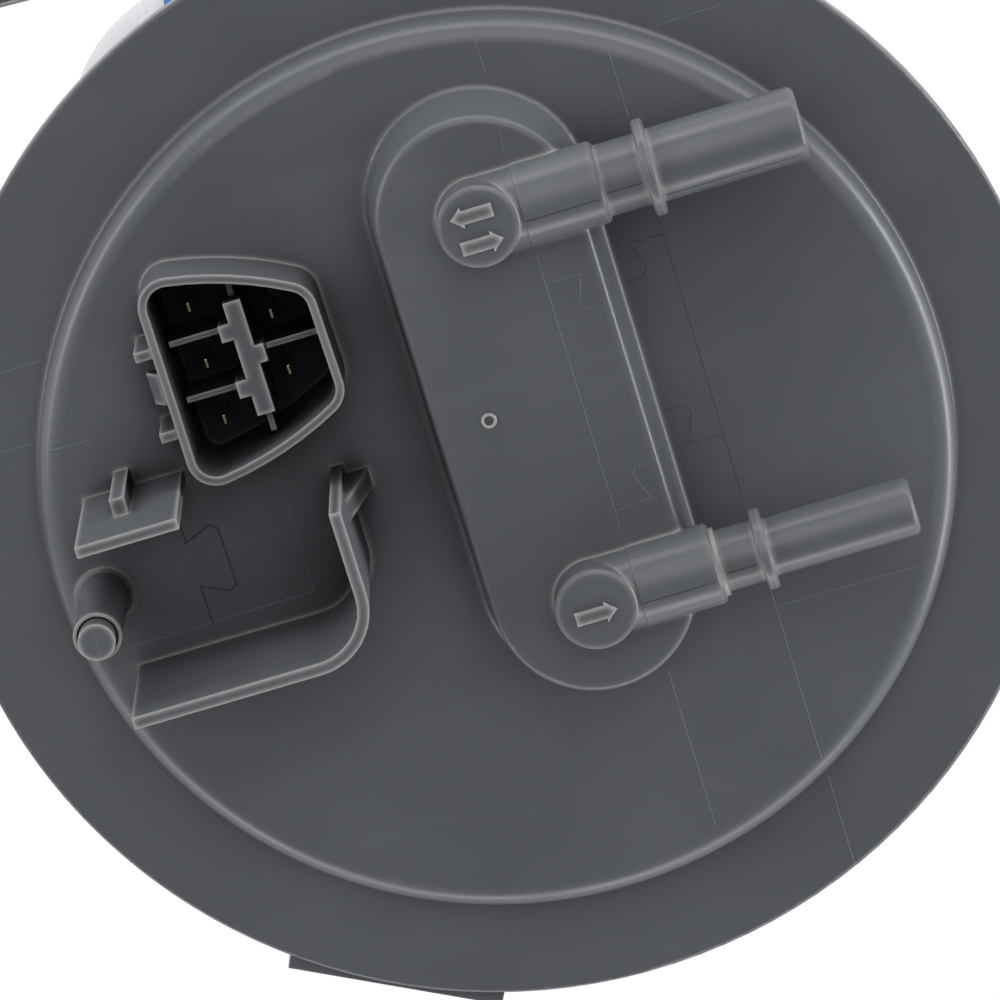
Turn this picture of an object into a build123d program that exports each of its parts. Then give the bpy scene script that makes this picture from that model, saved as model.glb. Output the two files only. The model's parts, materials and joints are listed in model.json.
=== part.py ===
from build123d import *
from math import cos, radians, sin, tan
import os

# Fuel pump module for a side-locked tank opening: a moulded flange with two fuel ports and an
# electrical socket, a sprung reservoir hanging from it on two guide rods, and inside that a
# turbine pump, its strainer, a jet pump and a float-type level sender.
# Frame: millimetres, +Z up, z = 0 on the sealing face under the flange rim, and the axis of the
# tank opening at x = y = 0.

os.makedirs("parts", exist_ok=True)

# ------------------------------------------------------------------------ driving dimensions
# flange moulding
rim_radius = 76.0
rim_thickness = 3.5
rim_edge_round = 0.5
plateau_overhang = 2.7
plateau_height = 7.0
plateau_round = 3.2
plateau_foot_round = 0.5
skin = 2.6
skirt_radius = 59.0
skirt_wall = 2.5
skirt_depth = 12.0
seal_land = 1.2
seal_land_depth = 4.0
seal_width = 5.8
seal_height = 3.4
seal_fit = 0.1
stiffener_count = 8
stiffener_thickness = 1.8
stiffener_inner_radius = 40.0

# locating tab under the rim
tab_angle = -117.3
tab_width = 30.0
tab_proud = 0.9
tab_seal_gap = 1.0
tab_top = 1.6
tab_bottom = -3.0

# raised boss that carries the two elbows
boss_x = 8.1
return_y = 36.85
supply_y = -17.1
boss_short_end = 0.5
boss_radius = 14.8
boss_height = 12.0
boss_draft = 6.4
boss_top_round = 1.0
boss_foot_round = 0.5

# elbows and quick-connect tubes, lengths from the boss axis
cap_height = 6.0
cap_radius = 5.48
cap_proud = 0.5
cap_round = 0.4
elbow_radius = 5.42
sleeve_start = 5.9
sleeve_end = 16.9
sleeve_radius = 5.55
sleeve_round = 0.7
collar_height = 0.5
bead_start = 22.5
bead_width = 1.6
bead_height = 1.6
bead_round = 0.5
tube_end = 44.05
tube_end_round = 1.0
nipple_root_radius = 5.0
nipple_wall = 1.25
nipple_length = 18.0
barb_step = 5.0
barb_height = 0.4

# electrical socket
socket_wall = 1.15
socket_height = 10.5
socket_depth = 14.0
socket_floor = 2.5
socket_draft = 4.0
socket_round = 4.0
key_drop = 1.5
divider_drop = 5.0
divider_thickness = 0.8
terminal_width = 1.5
terminal_thickness = 0.64
terminal_tip = 14.0
terminal_tail = -3.0
inner_socket_wall = 1.5
inner_socket_depth = 3.0
inner_socket_x = 18.0
inner_socket_y = 24.0
plug_gap = 0.3

# harness shield around the socket's lead
shield_height = 25.0
shield_thickness = 1.6
bracket_thickness = 1.5
post_height = 20.0
post_pin_height = 2.8

# guide rods, clips and lift springs
rod_radius = 4.0
rod_angles = (0.0, 206.0)
rod_wall_gap = 0.7
rod_socket_radius = 7.5
rod_socket_depth = 9.0
rod_fit = 0.03
rod_run = 12.0
clip_radius = 6.5
clip_thickness = 1.2
spring_wire = 1.4
spring_radius = 6.2
spring_turns = 7

# reservoir
lift_gap = 108.0
reservoir_radius = 53.0
reservoir_wall = 2.0
reservoir_floor = 2.5
reservoir_flat = 42.0
reservoir_depth = 98.5
foot_height = 1.5
foot_radius = 5.0
foot_inset_x = 23.3
foot_inset_y = 15.1
window_angles = (180, 225, 270, 315)
window_width = 12.0
window_height = 8.0
window_drop = 22.0
lid_thickness = 4.0
lid_skirt = 7.0
lid_wall = 1.8
lid_fit = 0.15
guide_radius = 6.5
guide_length = 14.0
guide_fit = 0.1

# pump
pump_x = 10.0
pump_y = -16.0
pump_radius = 19.0
can_wall = 1.2
strainer_room = 30.5
motor_ends = 44.0
can_round = 1.0
crimp = 3.0
shaft_radius = 2.0
bearing_fit = 0.03
rotor_radius = 12.0
air_gap = 0.6
magnet_span = 130
lamination_slots = 8
impeller_radius = 15.5
impeller_thickness = 3.6
impeller_vanes = 24
impeller_fit = 0.1

# hoses and wires
return_hose_radius = 4.75
return_hose_bore = 3.3
supply_hose_radius = 4.0
supply_hose_bore = 2.6
wire_radius = 0.9

# level sender
sender_x = -6.0
sender_gap = 6.0
sender_width = 26.0
sender_height = 46.0
sender_thickness = 7.0
arm_rest_angle = 14.0
arm_length = 100.0
rod_wire = 1.2
float_radius = 12.0
float_length = 34.0

# ------------------------------------------------------------------------ worked-out levels
rim_top = rim_thickness
plateau_radius = skirt_radius + plateau_overhang
plateau_top = rim_top + plateau_height
hollow_top = plateau_top - skin
seal_middle = skirt_radius + seal_land + seal_fit + seal_width / 2
tab_inner = seal_middle + seal_width / 2 + tab_seal_gap
tab_outer = rim_radius + tab_proud
skirt_inner = skirt_radius - skirt_wall
boss_top = plateau_top + boss_height
cap_top = boss_top + cap_height
tube_axis_z = cap_top - cap_proud - elbow_radius
socket_top = plateau_top + socket_height
socket_bottom = socket_top - socket_depth
lid_top = -lift_gap
lid_bottom = lid_top - lid_thickness
bucket_bottom = lid_bottom - reservoir_depth
floor_top = bucket_bottom + foot_height + reservoir_floor
floor_bottom = bucket_bottom + foot_height
lid_radius = reservoir_radius + lid_fit + lid_wall
isolator_height = 2.0
can_length = reservoir_depth - strainer_room
can_top = lid_bottom - isolator_height
can_bottom = can_top - can_length
guide_bottom = lid_top - guide_length
sender_z = lid_bottom - lid_skirt - sender_gap - sender_height / 2
rod_pitch = reservoir_radius - reservoir_wall - clip_radius - rod_wall_gap
rod_places = [(rod_pitch * cos(radians(a)), rod_pitch * sin(radians(a))) for a in rod_angles]

ports = [
    dict(y=return_y, tube=4.945, neck=4.8, collar=0.0, bore=3.2, hose=return_hose_bore),
    dict(y=supply_y, tube=3.945, neck=4.2, collar=0.6, bore=2.4, hose=supply_hose_bore),
]
terminal_places = [(-32.5, 34.5), (-32.5, 26.5), (-32.5, 18.5), (-22.3, 30.5), (-22.3, 22.5)]
socket_centre = (-27.4, 26.5)



def corner(section, x, y):
    """Corner of a sketch that lies nearest to (x, y) in the sketch's own plane."""
    return section.vertices().sort_by_distance((x, y, 0))[0]


# ------------------------------------------------------------------------ flange moulding
with BuildPart() as flange_cover:
    # dished disc, rim and spigot skirt as one turned section
    with BuildSketch(Plane.XZ) as section:
        with BuildLine():
            Polyline(
                (0, plateau_top),
                (plateau_radius, plateau_top),
                (plateau_radius, rim_top),
                (rim_radius, rim_top),
                (rim_radius, 0),
                (skirt_radius + seal_land, 0),
                (skirt_radius + seal_land, -seal_land_depth),
                (skirt_radius, -seal_land_depth),
                (skirt_radius, -skirt_depth),
                (skirt_inner, -skirt_depth),
                (skirt_inner, hollow_top),
                (0, hollow_top),
                close=True,
            )
        make_face()
        fillet(corner(section, plateau_radius, plateau_top), plateau_round)
        fillet(corner(section, plateau_radius, rim_top), plateau_foot_round)
        fillet(corner(section, rim_radius, rim_top), rim_edge_round)
        fillet(corner(section, rim_radius, 0), rim_edge_round)
    revolve(axis=Axis.Z)

    # stiffening ribs in the hollow
    with BuildSketch(Plane.XY.offset(hollow_top)):
        with PolarLocations((stiffener_inner_radius + skirt_inner + 1) / 2, stiffener_count, 11.0):
            Rectangle(skirt_inner + 1 - stiffener_inner_radius, stiffener_thickness)
    extrude(amount=-hollow_top)

    # drafted boss under the elbows, rounded at its top edge and foot
    boss_low = supply_y + boss_short_end
    boss_high = return_y
    boss_top_radius = boss_radius - boss_height * tan(radians(boss_draft))
    boss_section = Plane(origin=(boss_x, boss_high, 0), x_dir=(1, 0, 0), z_dir=(0, -1, 0))
    with BuildSketch(boss_section, mode=Mode.PRIVATE) as boss_profile:
        with BuildLine():
            Polyline(
                (0, plateau_top - 1),
                (boss_radius + 2 * boss_foot_round, plateau_top - 1),
                (boss_radius + 2 * boss_foot_round, plateau_top),
                (boss_radius, plateau_top),
                (boss_top_radius, boss_top),
                (0, boss_top),
                close=True,
            )
        make_face()
        fillet(corner(boss_profile, boss_top_radius, boss_top), boss_top_round)
        fillet(corner(boss_profile, boss_radius, plateau_top), boss_foot_round)
    half_section = boss_profile.sketch
    low_section = half_section.moved(Location((0, boss_low - boss_high, 0)))
    revolve(half_section, axis=Axis((boss_x, boss_high, 0), (0, 0, 1)))
    revolve(low_section, axis=Axis((boss_x, boss_low, 0), (0, 0, 1)))
    extrude(half_section, amount=boss_high - boss_low)
    extrude(half_section.rotate(Axis((boss_x, boss_high, 0), (0, 0, 1)), 180), amount=boss_low - boss_high)
    with BuildSketch(Plane.XY.offset(hollow_top)):
        with Locations((boss_x, (boss_high + boss_low) / 2)):
            SlotCenterToCenter(boss_high - boss_low, 2 * (boss_radius - skin), rotation=90)
    extrude(amount=boss_height, taper=boss_draft, mode=Mode.SUBTRACT)

    # elbows, tubes and hose nipples
    for port in ports:
        upright_axis = Axis((boss_x, port["y"], 0), (0, 0, 1))
        port_section = Plane(origin=(boss_x, port["y"], 0), x_dir=(1, 0, 0), z_dir=(0, -1, 0))
        # upright leg: root under the plateau, then the body up to its rounded cap
        with BuildSketch(port_section) as upright:
            with BuildLine():
                Polyline(
                    (0, 0),
                    (nipple_root_radius, 0),
                    (nipple_root_radius, hollow_top),
                    (cap_radius, hollow_top),
                    (cap_radius, cap_top),
                    (0, cap_top),
                    close=True,
                )
            make_face()
            fillet(corner(upright, cap_radius, cap_top), cap_round)
        revolve(axis=upright_axis)
        # level leg: body, sleeve, neck, latch bead and plain end
        tube_plane = Plane(origin=(boss_x, port["y"], tube_axis_z), x_dir=(1, 0, 0), z_dir=(0, -1, 0))
        bead_radius = port["tube"] + bead_height
        sleeve_foot = [(sleeve_end, port["neck"])]
        if port["collar"]:
            collar_radius = port["neck"] + collar_height
            sleeve_foot = [
                (sleeve_end, collar_radius),
                (sleeve_end + port["collar"], collar_radius),
                (sleeve_end + port["collar"], port["neck"]),
            ]
        with BuildSketch(tube_plane) as tube_section:
            with BuildLine():
                Polyline(
                    (0, 0),
                    (0, elbow_radius),
                    (sleeve_start, elbow_radius),
                    (sleeve_start, sleeve_radius),
                    (sleeve_end, sleeve_radius),
                    *sleeve_foot,
                    (bead_start, port["neck"]),
                    (bead_start, bead_radius),
                    (bead_start + bead_width, bead_radius),
                    (bead_start + bead_width, port["tube"]),
                    (tube_end, port["tube"]),
                    (tube_end, 0),
                    close=True,
                )
            make_face()
            fillet(corner(tube_section, sleeve_end, sleeve_radius), sleeve_round)
            fillet(corner(tube_section, bead_start, bead_radius), bead_round)
            fillet(corner(tube_section, bead_start + bead_width, bead_radius), bead_round)
            fillet(corner(tube_section, tube_end, port["tube"]), tube_end_round)
        revolve(axis=Axis((boss_x, port["y"], tube_axis_z), (1, 0, 0)))
        # barbed hose nipple
        barb = port["hose"] - 0.05
        with BuildSketch(port_section):
            with BuildLine():
                Polyline(
                    (0, 0),
                    (barb - barb_height, 0),
                    (barb - barb_height, -nipple_length + 2 * barb_step),
                    (barb, -nipple_length + 2 * barb_step),
                    (barb - barb_height, -nipple_length + barb_step),
                    (barb, -nipple_length + barb_step),
                    (barb - 1.5 * barb_height, -nipple_length),
                    (0, -nipple_length),
                    close=True,
                )
            make_face()
        revolve(axis=upright_axis)
        # fuel way: along the tube, then down the nipple
        with Locations(Plane(origin=(boss_x + tube_end, port["y"], tube_axis_z), z_dir=(-1, 0, 0))):
            Hole(port["bore"], depth=tube_end)
        with Locations(Plane(origin=(boss_x, port["y"], -nipple_length), z_dir=(0, 0, -1))):
            Hole(barb - nipple_wall, depth=tube_axis_z + nipple_length)

    # electrical socket: shell
    with BuildSketch(Plane.XY.offset(socket_top)) as socket_outline:
        with BuildLine():
            left_low = (-38.4, 11.3)
            left_high = (-38.4, 41.2)
            right_high = (-15.6, 33.9)
            right_low = (-15.3, 18.2)
            Line(left_low, left_high)
            SagittaArc(left_high, right_high, 1.5)
            Line(right_high, right_low)
            SagittaArc(right_low, left_low, 1.5)
        make_face()
        fillet(socket_outline.vertices(), socket_round)
    extrude(amount=-(socket_top - hollow_top))
    # block under the plateau that closes the cavity
    with BuildSketch(Plane.XY.offset(hollow_top)):
        with Locations(socket_centre):
            Rectangle(25.0, 30.0)
    extrude(amount=-(hollow_top - socket_bottom + socket_floor))
    with BuildSketch(Plane.XY.offset(socket_top)):
        offset(socket_outline.sketch, -socket_wall)
    extrude(amount=-socket_depth, taper=socket_draft, mode=Mode.SUBTRACT)
    # central keying post with its three lobes
    with BuildSketch(Plane.XY.offset(socket_bottom)):
        with Locations((-26.4, 26.9)):
            Rectangle(2.4, 15.9)
        with Locations((-28.2, 30.9), (-28.2, 23.0)):
            Rectangle(1.9, 2.3)
        with Locations((-24.9, 27.0)):
            Rectangle(1.7, 2.5)
    extrude(amount=socket_depth - key_drop)
    # thin walls between the terminal chambers
    with BuildSketch(Plane.XY.offset(socket_bottom)):
        with Locations((-32.6, 30.8), (-32.6, 22.9)):
            Rectangle(7.4, divider_thickness)
        with Locations((-20.6, 27.0)):
            Rectangle(7.2, divider_thickness)
        with Locations((-26.4, 35.8), (-26.4, 17.4)):
            Rectangle(divider_thickness, 3.4)
    extrude(amount=socket_depth - divider_drop)
    # terminal slots through the floor
    with BuildSketch(Plane.XY.offset(socket_bottom + 1)):
        with Locations(terminal_places):
            Rectangle(terminal_thickness, terminal_width)
    extrude(amount=-socket_floor - 3, mode=Mode.SUBTRACT)
    # shroud for the harness plug under the floor
    with BuildSketch(Plane.XY.offset(socket_bottom - socket_floor)):
        with Locations(socket_centre):
            Rectangle(inner_socket_x + 2 * inner_socket_wall, inner_socket_y + 2 * inner_socket_wall)
    extrude(amount=-(socket_bottom - socket_floor + inner_socket_depth))
    with BuildSketch(Plane.XY.offset(socket_bottom - socket_floor)):
        with Locations(socket_centre):
            Rectangle(inner_socket_x, inner_socket_y)
    extrude(amount=-(socket_bottom - socket_floor + inner_socket_depth), mode=Mode.SUBTRACT)
    # lock ramp and two fins on the outer left wall
    with BuildSketch(Plane.XY.offset(hollow_top + 1)):
        with Locations((-39.5, 31.2), (-39.5, 19.8)):
            Rectangle(2.6, 1.35)
    extrude(amount=socket_top - 1.0 - hollow_top - 1)
    with BuildSketch(Plane(origin=(0, 28.2, 0), x_dir=(1, 0, 0), z_dir=(0, -1, 0))):
        with BuildLine():
            Polyline(
                (-38.2, socket_top - 1.8),
                (-38.9, socket_top - 1.8),
                (-40.3, socket_top - 4.4),
                (-40.3, socket_top - 5.4),
                (-38.2, socket_top - 5.4),
                close=True,
            )
        make_face()
    extrude(amount=4.4)

    # harness shield: L-shaped wall with a rounded corner
    with BuildSketch(Plane.XY.offset(plateau_top - 1)):
        with BuildLine() as shield_line:
            FilletPolyline((-54.1, -12.35), (-20.45, -12.35), (-20.45, 7.3), radius=8.0)
        trace(shield_line.edges(), shield_thickness)
    extrude(amount=shield_height + 1)
    # triangular gusset behind the shield
    with BuildSketch(Plane(origin=(0, 4.6, 0), x_dir=(1, 0, 0), z_dir=(0, -1, 0))):
        with BuildLine():
            Polyline(
                (-20.3, plateau_top - 1),
                (-16.6, plateau_top - 1),
                (-16.6, plateau_top + 1),
                (-20.3, plateau_top + 19),
                close=True,
            )
        make_face()
    extrude(amount=1.3, both=True)
    # short wall facing the shield, with a rib on its back
    with BuildSketch(Plane.XY.offset(plateau_top - 1)):
        with Locations((-47.3, 11.95)):
            Rectangle(13.9, bracket_thickness)
    extrude(amount=shield_height + 1)
    with BuildSketch(Plane.XY.offset(plateau_top - 1)):
        with Locations((-48.2, 13.8)):
            Rectangle(2.1, 2.6)
    extrude(amount=16.0)

    # locating post with a stepped pin on its end
    post_x = -55.6
    post_y = -0.9
    with BuildSketch(Plane(origin=(post_x, post_y, 0), x_dir=(1, 0, 0), z_dir=(0, -1, 0))):
        post_top = plateau_top + post_height
        with BuildLine():
            Polyline(
                (0, hollow_top + 0.5),
                (4.2, hollow_top + 0.5),
                (4.2, plateau_top - 0.4),
                (3.45, plateau_top + 0.8),
                (3.05, post_top - 1.6),
                (3.25, post_top - 1.4),
                (3.25, post_top),
                (2.75, post_top),
                (2.75, post_top - 0.8),
                (2.5, post_top - 0.8),
                (2.5, post_top + post_pin_height),
                (0, post_top + post_pin_height),
                close=True,
            )
        make_face()
    revolve(axis=Axis((post_x, post_y, 0), (0, 0, 1)))

    # locating tab under the rim
    with BuildSketch(Plane.XY.offset(tab_bottom)):
        with PolarLocations((tab_outer + tab_inner) / 2, 1, tab_angle):
            Rectangle(tab_outer - tab_inner, tab_width)
    extrude(amount=tab_top - tab_bottom)

    # sockets for the guide rods
    with BuildSketch(Plane.XY.offset(hollow_top)):
        with Locations(rod_places):
            Circle(rod_socket_radius)
    extrude(amount=-(hollow_top + rod_socket_depth))
    with BuildSketch(Plane.XY.offset(-rod_socket_depth)):
        with Locations(rod_places):
            Circle(rod_radius + rod_fit)
    extrude(amount=rod_socket_depth + hollow_top - 1.5, mode=Mode.SUBTRACT)
flange_cover.part.label = "flange_cover"
export_step(flange_cover.part, "parts/flange_cover.step")

# ------------------------------------------------------------------------ flange hardware
with BuildPart() as connector_terminals:
    with BuildSketch(Plane.XY.offset(terminal_tail)):
        with Locations(terminal_places):
            Rectangle(terminal_thickness - 0.04, terminal_width - 0.04)
    extrude(amount=terminal_tip - terminal_tail)
    chamfer(connector_terminals.edges().group_by(Axis.Z)[-1], 0.15)
connector_terminals.part.label = "connector_terminals"
export_step(connector_terminals.part, "parts/connector_terminals.step")

with BuildPart() as tank_seal:
    # two-lipped ring
    with BuildSketch(Plane.XZ):
        with Locations((seal_middle, -seal_height / 2)):
            RectangleRounded(seal_width, seal_height, 1.5)
        with Locations((seal_middle, -seal_height)):
            Rectangle(1.6, 1.0, mode=Mode.SUBTRACT)
    revolve(axis=Axis.Z)
tank_seal.part.label = "tank_seal"
export_step(tank_seal.part, "parts/tank_seal.step")

rod_top = hollow_top - 1.5
rod_bottom = guide_bottom - rod_run
with BuildPart() as guide_rods:
    with BuildSketch(Plane.XY.offset(rod_bottom)):
        with Locations(rod_places):
            Circle(rod_radius)
    extrude(amount=rod_top - rod_bottom)
    chamfer(guide_rods.edges().group_by(Axis.Z)[0], 0.8)
guide_rods.part.label = "guide_rods"
export_step(guide_rods.part, "parts/guide_rods.step")

clip_top = guide_bottom - 0.05
with BuildPart() as rod_clips:
    with BuildSketch(Plane.XY.offset(clip_top)):
        with Locations(rod_places):
            Circle(clip_radius)
            Circle(rod_radius + rod_fit, mode=Mode.SUBTRACT)
        for place_x, place_y in rod_places:
            with Locations((place_x, place_y)):
                with PolarLocations(clip_radius - 0.9, 3):
                    Rectangle(1.8, 1.6, mode=Mode.SUBTRACT)
    extrude(amount=-clip_thickness)
rod_clips.part.label = "rod_clips"
export_step(rod_clips.part, "parts/rod_clips.step")

spring_top = -rod_socket_depth - 0.1
spring_length = spring_top - lid_top - 0.1


def coil_spring(place, base, length, radius, wire, turns):
    """Compression spring of square-edged wire standing at a place, with open ends."""
    pitch = (length - wire) / turns
    with BuildPart() as coil:
        with BuildLine() as path:
            Helix(pitch=pitch, height=length - wire, radius=radius, center=(*place, base + wire / 2))
        with BuildSketch(Plane(origin=path.line @ 0, x_dir=(1, 0, 0), z_dir=path.line % 0)):
            Rectangle(wire, wire)
        sweep(path=path.line, is_frenet=True)
    return coil.part


lift_coils = [
    coil_spring(place, lid_top + 0.1, spring_length, spring_radius, spring_wire, spring_turns)
    for place in rod_places
]
with BuildPart() as lift_springs:
    add(lift_coils)
lift_springs.part.label = "lift_springs"
export_step(lift_springs.part, "parts/lift_springs.step")

plug_top = socket_bottom - socket_floor - plug_gap
plug_bottom = -10.0
with BuildPart() as harness_plug:
    with BuildSketch(Plane.XY.offset(plug_bottom)):
        with Locations(socket_centre):
            RectangleRounded(inner_socket_x - 2 * plug_gap, inner_socket_y - 2 * plug_gap, 1.0)
    extrude(amount=plug_top - plug_bottom)
    with BuildSketch(Plane.XY.offset(plug_top)):
        with Locations(terminal_places):
            Rectangle(terminal_thickness + 0.3, terminal_width + 0.3)
    extrude(amount=terminal_tail - plug_top - 0.5, mode=Mode.SUBTRACT)
    # finger latch on the side
    with BuildSketch(Plane.XY.offset(plug_bottom)):
        with Locations((socket_centre[0] + inner_socket_x / 2 - plug_gap + 1.5, socket_centre[1])):
            Rectangle(3.0, 7.0)
    extrude(amount=inner_socket_depth + 3.0)
    with BuildSketch(Plane.XY.offset(plug_bottom)):
        with Locations(terminal_places):
            Circle(wire_radius + 0.02)
    extrude(amount=3.0, mode=Mode.SUBTRACT)
harness_plug.part.label = "harness_plug"
export_step(harness_plug.part, "parts/harness_plug.step")


# ------------------------------------------------------------------------ reservoir shell
def dee(radius, flat):
    """Round outline cut off by a straight side at y = flat."""
    with BuildSketch() as outline:
        Circle(radius)
        with Locations((0, flat + radius)):
            Rectangle(4 * radius, 2 * radius, mode=Mode.SUBTRACT)
        fillet(outline.vertices(), 4.0)
    return outline.sketch


jet_x, jet_y = -36.5, 8.9
fill_x, fill_y = -14.0, 26.0
fill_stem_radius = 1.6
fill_disc_radius = 8.0
with BuildPart() as reservoir_bucket:
    with BuildSketch(Plane.XY.offset(floor_bottom)):
        add(dee(reservoir_radius, reservoir_flat))
    extrude(amount=lid_bottom - floor_bottom)
    fillet(reservoir_bucket.edges().group_by(Axis.Z)[0], 2.0)
    with BuildSketch(Plane.XY.offset(floor_top)):
        add(dee(reservoir_radius - reservoir_wall, reservoir_flat - reservoir_wall))
    extrude(amount=lid_bottom - floor_top, mode=Mode.SUBTRACT)
    # feet that hold the suction opening off the tank floor
    with BuildSketch(Plane.XY.offset(floor_bottom + 0.5)):
        with GridLocations(2 * (reservoir_radius - foot_inset_x), 2 * (reservoir_flat - foot_inset_y), 2, 2):
            Circle(foot_radius)
    extrude(amount=-(foot_height + 0.5))
    # strengthening band round the mouth
    with BuildSketch(Plane.XY.offset(lid_bottom - lid_skirt - 2.5)):
        add(dee(reservoir_radius + 1.2, reservoir_flat + 1.2))
        add(dee(reservoir_radius - 0.5, reservoir_flat - 0.5), mode=Mode.SUBTRACT)
    extrude(amount=1.6)
    # overflow windows under the lid
    for window_angle in window_angles:
        with BuildSketch(Plane.XY.offset(lid_bottom - window_drop)):
            with PolarLocations(reservoir_radius, 1, window_angle):
                Rectangle(3 * reservoir_wall, window_width)
        extrude(amount=window_height, mode=Mode.SUBTRACT)
    # fill valve seat: a stem hole and a ring of ports
    with BuildSketch(Plane.XY.offset(floor_bottom)):
        with Locations((fill_x, fill_y)):
            Circle(fill_stem_radius + 0.3)
            with PolarLocations(5.0, 6):
                Circle(1.4)
        with Locations((jet_x, jet_y)):
            Circle(3.0)
    extrude(amount=reservoir_floor, mode=Mode.SUBTRACT)
    # level sender rails on the flat side
    rail_height = sender_height + 4
    with BuildSketch(Plane.XY.offset(sender_z - rail_height / 2 - 2)):
        for side in (-1, 1):
            with Locations((sender_x + side * (sender_width / 2 + 1.7), reservoir_flat + 2.0)):
                Rectangle(2.4, 4.6)
            with Locations((sender_x + side * (sender_width / 2 + 0.9), reservoir_flat + 3.6)):
                Rectangle(4.0, 1.4)
    extrude(amount=rail_height)
reservoir_bucket.part.label = "reservoir_bucket"
export_step(reservoir_bucket.part, "parts/reservoir_bucket.step")

outlet_x, outlet_y = pump_x + 8.0, pump_y - 6.0
spigot_top = lid_top + 12.0
with BuildPart() as reservoir_lid:
    with BuildSketch(Plane.XY.offset(lid_bottom)):
        add(dee(lid_radius, reservoir_flat + lid_fit + lid_wall))
    extrude(amount=lid_thickness)
    fillet(reservoir_lid.edges().group_by(Axis.Z)[-1], 1.5)
    with BuildSketch(Plane.XY.offset(lid_bottom)):
        add(dee(lid_radius, reservoir_flat + lid_fit + lid_wall))
        add(dee(reservoir_radius + lid_fit, reservoir_flat + lid_fit), mode=Mode.SUBTRACT)
    extrude(amount=-lid_skirt)
    # rod guides
    with BuildSketch(Plane.XY.offset(guide_bottom)):
        with Locations(rod_places):
            Circle(guide_radius)
    extrude(amount=lid_bottom - guide_bottom)
    with BuildSketch(Plane.XY.offset(lid_top)):
        with Locations(rod_places):
            Circle(rod_radius + guide_fit)
    extrude(amount=-guide_length, mode=Mode.SUBTRACT)
    # mouth for the pump's outlet cap
    with BuildSketch(Plane.XY.offset(lid_top)):
        with Locations((pump_x, pump_y)):
            Circle(13.2)
    extrude(amount=-lid_thickness, mode=Mode.SUBTRACT)
    # collar and three snap windows that hold the pump cradle
    with BuildSketch(Plane.XY.offset(lid_bottom)):
        with Locations((pump_x, pump_y)):
            Circle(pump_radius + 6.2)
            Circle(pump_radius + 4.2, mode=Mode.SUBTRACT)
    extrude(amount=-5.0)
    # return spigot, barbed above and plain below
    with BuildSketch(Plane(origin=(jet_x, jet_y, 0), x_dir=(1, 0, 0), z_dir=(0, -1, 0))):
        barb = return_hose_bore - 0.05
        with BuildLine():
            Polyline(
                (0, lid_bottom - 4),
                (barb, lid_bottom - 4),
                (barb, lid_top),
                (barb - 0.4, lid_top),
                (barb - 0.4, spigot_top - barb_step),
                (barb, spigot_top - barb_step),
                (barb - 0.6, spigot_top),
                (0, spigot_top),
                close=True,
            )
        make_face()
    revolve(axis=Axis((jet_x, jet_y, 0), (0, 0, 1)))
    with Locations(Plane(origin=(jet_x, jet_y, spigot_top), z_dir=(0, 0, 1))):
        Hole(return_hose_bore - 1.3, depth=spigot_top - lid_bottom + 4)
    # vent slots
    with BuildSketch(Plane.XY.offset(lid_top)):
        with Locations((-12, 28), (-4, 28), (4, 28), (12, 28)):
            SlotOverall(12, 3, rotation=90)
    extrude(amount=-lid_thickness, mode=Mode.SUBTRACT)
    # stiffening rib ring on top
    with BuildSketch(Plane.XY.offset(lid_top)):
        with Locations((pump_x, pump_y)):
            Circle(16.6)
            Circle(15.2, mode=Mode.SUBTRACT)
    extrude(amount=2.0)
reservoir_lid.part.label = "reservoir_lid"
export_step(reservoir_lid.part, "parts/reservoir_lid.step")

cradle_bottom = can_bottom - 4.0
cradle_inner = pump_radius + 1.8
cradle_band = 12.5
with BuildPart() as pump_cradle:
    with BuildSketch(Plane(origin=(pump_x, pump_y, 0), x_dir=(1, 0, 0), z_dir=(0, -1, 0))):
        with BuildLine():
            Polyline(
                (cradle_inner, lid_bottom),
                (pump_radius + 4.0, lid_bottom),
                (pump_radius + 4.0, lid_bottom - 6),
                (cradle_inner + 1.6, lid_bottom - 8),
                (cradle_inner + 1.6, cradle_bottom),
                (pump_radius - 4.0, cradle_bottom),
                (pump_radius - 4.0, cradle_bottom + 1.8),
                (cradle_inner, cradle_bottom + 1.8),
                close=True,
            )
        make_face()
    revolve(axis=Axis((pump_x, pump_y, 0), (0, 0, 1)))
    # tall windows between three legs
    with BuildSketch(Plane.XY.offset(cradle_bottom + cradle_band)):
        with Locations((pump_x, pump_y)):
            with PolarLocations(cradle_inner, 3, 30):
                Rectangle(8, 26)
    extrude(amount=can_length - 2 * cradle_band, mode=Mode.SUBTRACT)
pump_cradle.part.label = "pump_cradle"
export_step(pump_cradle.part, "parts/pump_cradle.step")

# ------------------------------------------------------------------------ pump
pump_axis = Axis((pump_x, pump_y, 0), (0, 0, 1))
pump_section = Plane(origin=(pump_x, pump_y, 0), x_dir=(1, 0, 0), z_dir=(0, -1, 0))
can_inner = pump_radius - can_wall


def turned(points):
    """Solid of revolution about the pump axis from an (r, z) outline."""
    with BuildPart() as piece:
        with BuildSketch(pump_section):
            with BuildLine():
                Polyline(*points, close=True)
            make_face()
        revolve(axis=pump_axis)
    return piece.part


with BuildPart() as pump_can:
    with BuildSketch(pump_section) as can_section:
        with BuildLine():
            Polyline(
                (pump_radius, can_bottom),
                (pump_radius, can_top),
                (pump_radius - crimp, can_top),
                (pump_radius - crimp, can_top - can_wall),
                (can_inner, can_top - can_wall),
                (can_inner, can_bottom + can_wall),
                (pump_radius - crimp, can_bottom + can_wall),
                (pump_radius - crimp, can_bottom),
                close=True,
            )
        make_face()
        fillet(corner(can_section, pump_radius, can_bottom), can_round)
        fillet(corner(can_section, pump_radius, can_top), can_round)
    revolve(axis=pump_axis)
pump_can.part.label = "pump_can"
export_step(pump_can.part, "parts/pump_can.step")

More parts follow.
